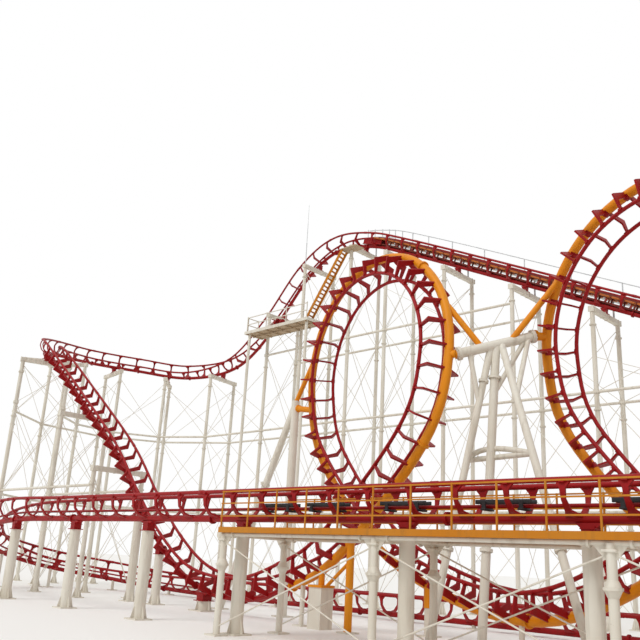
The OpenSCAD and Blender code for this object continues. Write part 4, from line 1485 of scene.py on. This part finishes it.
@dataclass(frozen=True)
class Walkway(Builder):
    """The walkway beside the brake run: deck bars, columns with fittings, pipes and crossed rods."""

    start: float = -2.77
    end: float = 9.0
    deck_z: float = 1.45
    strips: Pairs = ((-2.7, -2.4), (-2.06, -1.32))
    columns: tuple[float, ...] = (-2.72, 0.18, 3.165, 6.15, 8.85)
    front_y: float = -2.62
    back_y: float = -1.4
    beam_z: float = 1.396
    beam_r: float = 0.028
    beam_inset: float = 0.02
    pipe_sides: int = 14
    column_r: float = 0.051
    column_sides: int = 18
    base_t: float = 0.025
    bar: Triple = (0.006, 1.0, 0.012)
    bar_rise: float = 0.004
    bar_pitch: float = 0.05
    bar_ends: float = 0.03
    collar_z: float = 0.97
    cone: Pairs = ((-0.002, 0.085), (0.004, 0.08), (0.034, 0.016), (0.046, 0.014))
    cone_sides: int = 20
    ear: Pairs = ((-0.17, 0.0), (-0.17, 0.06), (0.17, 0.06), (0.17, 0.0), (0.06, -0.13), (-0.06, -0.13))
    ear_t: float = 0.014
    ear_down: float = 0.03
    node_plate: Triple = (0.15, 0.13, 0.03)
    node_plates: Pair = (-0.075, 0.055)
    node_bevel: float = 0.004
    ring: Flange = Flange(0.052, 0.026, 0.043, 8, 0.004, 0.04, 18)
    ring_beside: float = 0.22
    ring_clear: float = 0.05
    rod_levels: Pair = (0.12, 1.3)
    rod_r: float = 0.011
    rod_sides: int = 8

    def sides(self) -> Pair:
        """Gives the two rows of columns in Y."""
        return self.front_y, self.back_y

    def heads(self, z: float) -> list[Vector]:
        """Lists the places of all columns at a height."""
        return [Vector((x, y, z)) for x in self.columns for y in self.sides()]

    def build(self, supports: Supports) -> None:
        """Builds the walkway's fittings.

        Args:
            supports: the brake run's columns, beside which cross pipes lie.
        """
        number = round((self.end - self.start) / self.bar_pitch)
        pitch = (self.end - self.start) / number
        bars = [Stand(Vector((self.start + (k + 0.5) * pitch, sum(strip) / 2, self.deck_z)),
                      size=(1.0, strip[1] - strip[0] - self.bar_ends, 1.0))
                for k in range(number) for strip in self.strips]
        self.shop.repeat("deck_bars", [box(self.bar, (0, 0, self.bar_rise))], bars, Slot.ORANGE)
        posts = [list(ends) for ends in zip(self.heads(self.base_t / 2), self.heads(self.beam_z))]
        self.shop.tubes("walkway_columns", posts, self.column_r, self.column_sides, Slot.WHITE,
                        "walkway_frame")
        across = list(self.columns) + [self.track.spine(s).x for s in supports.brake_columns]
        pipes = [[Vector((x, y, self.beam_z)) for y in self.sides()]
                 for x in across if self.start < x < self.end]
        self.shop.tubes("walkway_cross_pipes", pipes, self.beam_r, self.pipe_sides, Slot.WHITE)
        ends = (self.start + self.beam_inset, self.end - self.beam_inset)
        beams = [[Vector((x, y, self.beam_z)) for x in ends] for y in self.sides()]
        self.shop.tubes("walkway_long_pipes", beams, self.beam_r, self.pipe_sides, Slot.WHITE,
                        "walkway_beams")
        self.fittings()
        self.braces()

    def fittings(self) -> None:
        """Sets a double cone on each column, a node with plates under the beam and rings beside it."""
        upper = [(self.column_r + out, rise) for out, rise in self.cone]
        profile = [(radius, -rise) for radius, rise in upper] + upper[::-1]
        rows = [Stand(place) for place in self.heads(self.collar_z)]
        self.shop.repeat("column_cones", [lathed(profile, self.cone_sides)], rows, Slot.WHITE)
        node = [moved(turned(plate(list(self.ear), self.ear_t), 90, "X"), (0, 0, -self.ear_down))]
        node += [box(self.node_plate, (0, 0, z), self.node_bevel) for z in self.node_plates]
        rows = [Stand(place) for place in self.heads(self.beam_z)]
        self.shop.repeat("column_nodes", node, rows, Slot.WHITE)
        along = Vector((1, 0, 0)).to_track_quat("Z", "Y")
        places = [x + side * self.ring_beside for x in self.columns for side in SIDES]
        rings = [Stand(Vector((x, y, self.beam_z)), along) for x in places for y in self.sides()
                 if self.start + self.ring_clear < x < self.end - self.ring_clear]
        self.shop.flanges("pipe_rings", rings, self.ring, Slot.WHITE)

    def braces(self) -> None:
        """Crosses rods between neighbouring columns."""
        paths = [[Vector((a, y, low)), Vector((b, y, high))] for a, b in zip(self.columns, self.columns[1:])
                 for low, high in (self.rod_levels, self.rod_levels[::-1]) for y in self.sides()]
        self.shop.tubes("walkway_rods", paths, self.rod_r, self.rod_sides, Slot.WHITE)


@dataclass(frozen=True)
class BrakeRun(Builder):
    """Friction beams on arms on the brake run, and a second tube that goes on through the low turn."""

    places: tuple[float, ...] = (64.65, 65.03, 65.4, 65.81, 66.15, 66.45, 66.66)
    beam: Triple = (0.03, 0.05, 0.72)
    beam_at: Pair = (0.055, -0.195)
    arm: Triple = (0.014, 0.09, 0.05)
    arm_at: Pair = (0.076, -0.24)
    tie: Triple = (0.2, 0.024, 0.07)
    tie_y: float = -0.28
    arm_z: float = 0.24
    bevel: float = 0.004
    tube_r: float = 0.022
    tube_sides: int = 12
    tube_rise: float = -0.243
    tube_stretch: Pair = (64, 74.9)
    tube_steps: int = 12

    def unit(self) -> list[Shape]:
        """Makes one brake: two friction beams on arms, and a cross bar under each pair of arms.

        Returns:
            The brake's parts.
        """
        parts = []
        for side in SIDES:
            parts.append(box(self.beam, (side * self.beam_at[0], self.beam_at[1], 0), self.bevel))
            parts += [box(self.arm, (side * self.arm_at[0], self.arm_at[1], end * self.arm_z))
                      for end in SIDES]
        return parts + [box(self.tie, (0, self.tie_y, end * self.arm_z), self.bevel) for end in SIDES]

    def build(self) -> None:
        """Builds the brakes and the second tube."""
        rows = self.track.stands(self.places)
        self.shop.repeat("friction_brakes", self.unit(), rows, Slot.OILED, finish=self.shop.cast)
        line = self.track.line(*self.tube_stretch, 0.0, self.tube_rise, self.tube_steps)
        self.shop.tubes("second_tube", [line], self.tube_r, self.tube_sides, Slot.RED)


@dataclass(frozen=True)
class Lift(Builder):
    """The lift's boards, its open trough and the chain's links."""

    tail_s: float = 10.05
    head_s: float = 13.85
    clear: float = 0.12
    wheel_rise: float = -0.2
    wheel_r: float = 0.095
    teeth: int = 12
    link: float = 0.0497
    link_gap: float = 0.003
    link_plate: Pair = (0.006, 0.034)
    link_half: float = 0.023
    roller: Pairs = ((0.01, -0.024), (0.01, 0.024))
    roller_sides: int = 8
    board: Pair = (0.11, 0.04)
    board_rows: Pairs = ((0.26, -0.15), (0.2, 0.15))
    board_bevel: float = 0.003
    board_at: Pair = (0.19, -0.15)
    trough_half: float = 0.07
    trough_wall: float = 0.01
    trough_decks: Pairs = ((-0.323, -0.313), (-0.133, -0.123))
    trough_lips: Pairs = ((-0.323, -0.27), (-0.155, -0.063))
    post: Triple = (0.01, 0.12, 0.05)
    post_at: Pair = (0.065, -0.2125)
    post_pitch: float = 0.34

    def boards(self) -> None:
        """Lays a board on each side of the trough between every two ties."""
        ties = self.track.even(LIFT_SECTION.first, LIFT_SECTION.last, LIFT_SECTION.tie_pitch)
        parts = [box((*self.board, length), (0, 0, z), self.board_bevel) for length, z in self.board_rows]
        rows = []
        for a, b in zip(ties, ties[1:]):
            for side in SIDES:
                rows += self.track.stands([(a + b) / 2], side * self.board_at[0], self.board_at[1])
        self.shop.repeat("lift_boards", parts, rows, Slot.BROWN, finish=self.shop.board)

    def trough(self) -> None:
        """Builds the trough: a floor and a web with lips along the lift, and posts between them."""
        stretch = (self.tail_s + self.clear, self.head_s - self.clear)
        half, inner = self.trough_half, self.trough_half - self.trough_wall
        parts = [ribbon(self.track, stretch, (-half, half), rise) for rise in self.trough_decks]
        for edge in ((-half, -inner), (inner, half)):
            parts += [ribbon(self.track, stretch, edge, rise) for rise in self.trough_lips]
        self.shop.finished("trough_bands", parts, Slot.BROWN, "lift_trough")
        posts = [box(self.post, (side * self.post_at[0], self.post_at[1], 0)) for side in SIDES]
        rows = self.track.stands(self.track.even(*stretch, self.post_pitch))
        self.shop.repeat("trough_posts", posts, rows, Slot.BROWN)

    def plates(self) -> list[Shape]:
        """Cuts the two side plates of a link."""
        size = (*self.link_plate, self.link - self.link_gap)
        return [box(size, (side * self.link_half, 0, 0)) for side in SIDES]

    def chain(self) -> None:
        """Lays the chain's links along both runs and round both wheels, with no roller at the teeth."""
        runs, arcs = [], []
        for rise in (self.wheel_rise - self.wheel_r, self.wheel_rise + self.wheel_r):
            for s in self.track.even(self.tail_s, self.head_s, self.link):
                straight = self.tail_s + self.clear < s < self.head_s - self.clear
                (runs if straight else arcs).extend(self.track.stands([s], 0.0, rise))
        for s, first in ((self.tail_s, 180), (self.head_s, 0)):
            spot = self.track.spot(s)
            centre = spot.point(0, self.wheel_rise)
            for k in range(1, self.teeth // 2):
                angle = math.radians(first + k * 360 / self.teeth)
                out = spot.up * math.cos(angle) + spot.along * math.sin(angle)
                turn = Matrix((spot.right, out, spot.right.cross(out))).transposed().to_quaternion()
                arcs.append(Stand(centre + out * self.wheel_r, turn))
        roller = turned(lathed(list(self.roller), self.roller_sides), 90, "Y")
        self.shop.repeat("chain_links", self.plates() + [roller], runs, Slot.OILED, "lift_chain")
        self.shop.repeat("chain_end_links", self.plates(), arcs, Slot.OILED)

    def build(self) -> None:
        """Builds the boards, the trough and the chain."""
        self.boards()
        self.trough()
        self.chain()


@dataclass(frozen=True)
class DrivePlatform(Builder):
    """The platform under the crest with its ribs, and the drive motor on it."""

    x: Pair = (-13.35, -10.35)
    y: Pair = (6.15, 6.9)
    top: float = 8.5
    thick: float = 0.06
    ribs: int = 7
    rib_w: float = 0.03
    rib_h: float = 0.05
    rib_inset: float = 0.1
    rib_sunk: float = 0.022
    keel_w: float = 0.04
    keel_sunk: float = 0.03
    under_inset: float = 0.01
    rim_t: float = 0.014
    rim_h: float = 0.1
    rim_sunk: float = 0.03
    rim_out: float = 0.004
    rim_over: Pair = (0.03, 0.02)
    motor_at: Triple = (-12.0, 6.48, 8.496)
    axis_z: float = 0.2
    barrel: Pairs = (
        (0.05, -0.15), (0.088, -0.148), (0.092, -0.13), (0.092, 0.13), (0.088, 0.148), (0.05, 0.15))
    cowl: Pairs = ((0.07, -0.205), (0.098, -0.195), (0.101, -0.14), (0.093, -0.132))
    gear: Pairs = (
        (0.06, 0.15), (0.09, 0.152), (0.09, 0.19), (0.055, 0.2), (0.05, 0.235), (0.022, 0.237), (0.022, 0.26))
    motor_sides: int = 24
    gear_sides: int = 20
    foot: Pairs = ((-0.085, 0), (0.085, 0), (0.07, 0.13), (-0.07, 0.13))
    foot_t: float = 0.03
    foot_x: float = 0.09
    foot_z: float = 0.05
    terminal_box: Triple = (0.09, 0.085, 0.06)
    terminal_at: Triple = (-0.03, -0.06, 0.295)
    terminal_bevel: float = 0.008
    rail: Triple = (0.38, 0.04, 0.06)
    rail_y: float = 0.13
    rail_z: float = 0.03
    rail_bevel: float = 0.004
    sleeper: Triple = (0.04, 0.24, 0.05)
    sleepers: tuple[float, ...] = (-0.17, 0, 0.17)
    sleeper_z: float = 0.027
    sleeper_bevel: float = 0.003
    fins: int = 28
    fin: Triple = (0.2, 0.003, 0.02)
    fin_r: float = 0.099

    def under(self) -> None:
        """Hangs ribs and a keel under the deck and runs a rim round it."""
        low, middle = self.top - self.thick, sum(self.y) / 2
        length, width = self.x[1] - self.x[0], self.y[1] - self.y[0]
        gap = (length - 2 * self.rib_inset) / (self.ribs - 1)
        rib = (self.rib_w, width - 2 * self.under_inset, self.rib_h)
        parts = [box(rib, (self.x[0] + self.rib_inset + k * gap, middle, low - self.rib_sunk))
                 for k in range(self.ribs)]
        parts.append(box((length - 2 * self.under_inset, self.keel_w, self.rib_h),
                         (sum(self.x) / 2, middle, low - self.keel_sunk)))
        self.shop.finished("platform_ribs", parts, Slot.BEIGE)
        rim_z = self.top - self.rim_sunk
        rim = [box((length + self.rim_over[0], self.rim_t, self.rim_h), (sum(self.x) / 2, y, rim_z))
               for y in (self.y[0] - self.rim_out, self.y[1] + self.rim_out)]
        rim += [box((self.rim_t, width + self.rim_over[1], self.rim_h), (x, middle, rim_z))
                for x in (self.x[0] - self.rim_out, self.x[1] + self.rim_out)]
        self.shop.finished("platform_rim", rim, Slot.WHITE)

    def motor(self) -> None:
        """Builds the motor: barrel, fan cowl, gear head, terminal box, feet, skid and fins."""
        at = Vector(self.motor_at)
        turns = ((self.barrel, self.motor_sides), (self.cowl, self.motor_sides), (self.gear, self.gear_sides))
        parts = [moved(turned(lathed(list(profile), sides), 90, "Y"), (0, 0, self.axis_z))
                 for profile, sides in turns]
        parts.append(box(self.terminal_box, self.terminal_at, self.terminal_bevel))
        for side in SIDES:
            foot = turned(turned(plate(list(self.foot), self.foot_t), 90, "X"), 90, "Z")
            parts.append(moved(foot, (side * self.foot_x, 0, self.foot_z)))
            parts.append(box(self.rail, (0, side * self.rail_y, self.rail_z), self.rail_bevel))
        parts += [box(self.sleeper, (x, 0, self.sleeper_z), self.sleeper_bevel) for x in self.sleepers]
        self.shop.finished("motor_body", [moved(part, at) for part in parts], Slot.RED, "drive_motor")
        rows = []
        for k in range(self.fins):
            turn = Quaternion((1, 0, 0), 2 * math.pi * k / self.fins)
            rows.append(Stand(at + UP * self.axis_z + turn @ (UP * self.fin_r), turn))
        self.shop.repeat("motor_fins", [box(self.fin, (0, 0, 0))], rows, Slot.RED)

    def build(self) -> None:
        """Builds what is under the deck, the rim and the motor."""
        self.under()
        self.motor()


@dataclass(frozen=True)
class Studio:
    """Camera, soft light, pale floor and a white background."""

    eye: Triple = (6.6, -10.2, 1.05)
    pitch: float = 17.4
    roll: float = 3.2
    focal_px: float = 778.0
    frame_px: float = 640.0
    sensor_mm: float = 36.0
    far: float = 500.0
    sky: float = 0.72
    sun: float = 1.25
    sun_angle: float = 25.0
    sun_turn: Triple = (38.0, -14.0, 18.0)
    floor_edge: float = 450.0
    floor_colour: str = "#F1EFEB"
    floor_roughness: float = 0.95

    def camera(self) -> None:
        """Sets the camera at the photograph's viewing angle."""
        data = bpy.data.cameras.new("camera")
        data.sensor_fit = "HORIZONTAL"
        data.sensor_width = self.sensor_mm
        data.lens = self.focal_px / self.frame_px * self.sensor_mm
        data.clip_end = self.far
        ahead = Vector((-1, 1, 0)).normalized()
        side = Vector((1, 1, 0)).normalized()
        pitch, roll = math.radians(self.pitch), math.radians(self.roll)
        forward = ahead * math.cos(pitch) + UP * math.sin(pitch)
        up = UP * math.cos(pitch) - ahead * math.sin(pitch)
        x = side * math.cos(roll) + up * math.sin(roll)
        y = up * math.cos(roll) - side * math.sin(roll)
        turn = Matrix((x, y, -forward)).transposed().to_4x4()
        camera = linked("camera", data)
        camera.matrix_world = Matrix.Translation(self.eye) @ turn
        bpy.context.scene.camera = camera

    def white_for_view(self, tree: Tree) -> Socket:
        """Gives one for camera, glossy and transmission rays and nothing for the rest.

        Args:
            tree: the node tree.

        Returns:
            The value, as a socket.
        """
        path = add(tree, "ShaderNodeLightPath")
        seen = path.outputs["Is Camera Ray"]
        for kind in ("Is Glossy Ray", "Is Transmission Ray"):
            larger = add(tree, "ShaderNodeMath", {"operation": "MAXIMUM"}, {0: seen, 1: path.outputs[kind]})
            seen = larger.outputs[0]
        return seen

    def light(self) -> None:
        """Lights the object from an even sky and one wide sun."""
        world = bpy.data.worlds.new("studio")
        world.use_nodes = True
        tree = world.node_tree
        tree.nodes.clear()
        lamp, white = (add(tree, "ShaderNodeBackground", {"Color": (1, 1, 1, 1), "Strength": strength})
                       for strength in (self.sky, 1.0))
        mixed = add(tree, "ShaderNodeMixShader", None,
                    {0: self.white_for_view(tree), 1: lamp.outputs[0], 2: white.outputs[0]})
        add(tree, "ShaderNodeOutputWorld", None, {"Surface": mixed.outputs[0]})
        bpy.context.scene.world = world
        data = bpy.data.lights.new("sun", "SUN")
        data.energy = self.sun
        data.angle = math.radians(self.sun_angle)
        linked("sun", data).rotation_euler = [math.radians(turn) for turn in self.sun_turn]

    def floor(self) -> None:
        """Lays a plain pale floor."""
        mesh = bpy.data.meshes.new("floor")
        edge = self.floor_edge
        mesh.from_pydata([(-edge, -edge, 0), (edge, -edge, 0), (edge, edge, 0), (-edge, edge, 0)], [],
                         [(0, 1, 2, 3)])
        material = bpy.data.materials.new("pale matt floor")
        material.use_nodes = True
        shader = material.node_tree.nodes["Principled BSDF"]
        shader.inputs["Base Color"].default_value = linear(self.floor_colour)
        shader.inputs["Roughness"].default_value = self.floor_roughness
        mesh.materials.append(material)
        floor = linked("floor", mesh)

    def build(self) -> None:
        """Sets up the whole studio."""
        scene = bpy.context.scene
        scene.view_settings.view_transform = "Standard"
        self.camera()
        self.light()
        self.floor()


def paint_frame(frame: dict[str, object], shop: Workshop) -> None:
    """Gives every carried-over node its finish from the record's slots.

    Args:
        shop: the workshop with finishes.
    """
    slots = {row["node"]: Slot(row["material_slot"]) for row in frame["record"]["subparts"]}
    for name, piece in frame["nodes"].items():
        material = shop.paint[slots[name]]
        if not piece.material_slots:
            piece.data.materials.append(material)
        for place in piece.material_slots:
            place.material = material


def main() -> None:
    """Builds the studio and every sub-assembly."""
    logging.basicConfig(level=logging.INFO, format="%(name)s %(message)s")
    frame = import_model()
    Studio().build()
    shop = Workshop()
    paint_frame(frame, shop)
    track = Track(Circuit())
    for section in SECTIONS:
        section.build(track, shop)
    supports = Supports(track, shop)
    supports.build()
    LoopTower(track, shop).build()
    Walkway(track, shop).build(supports)
    BrakeRun(track, shop).build()
    Lift(track, shop).build()
    DrivePlatform(track, shop).build()


if __name__ == "__main__":
    main()
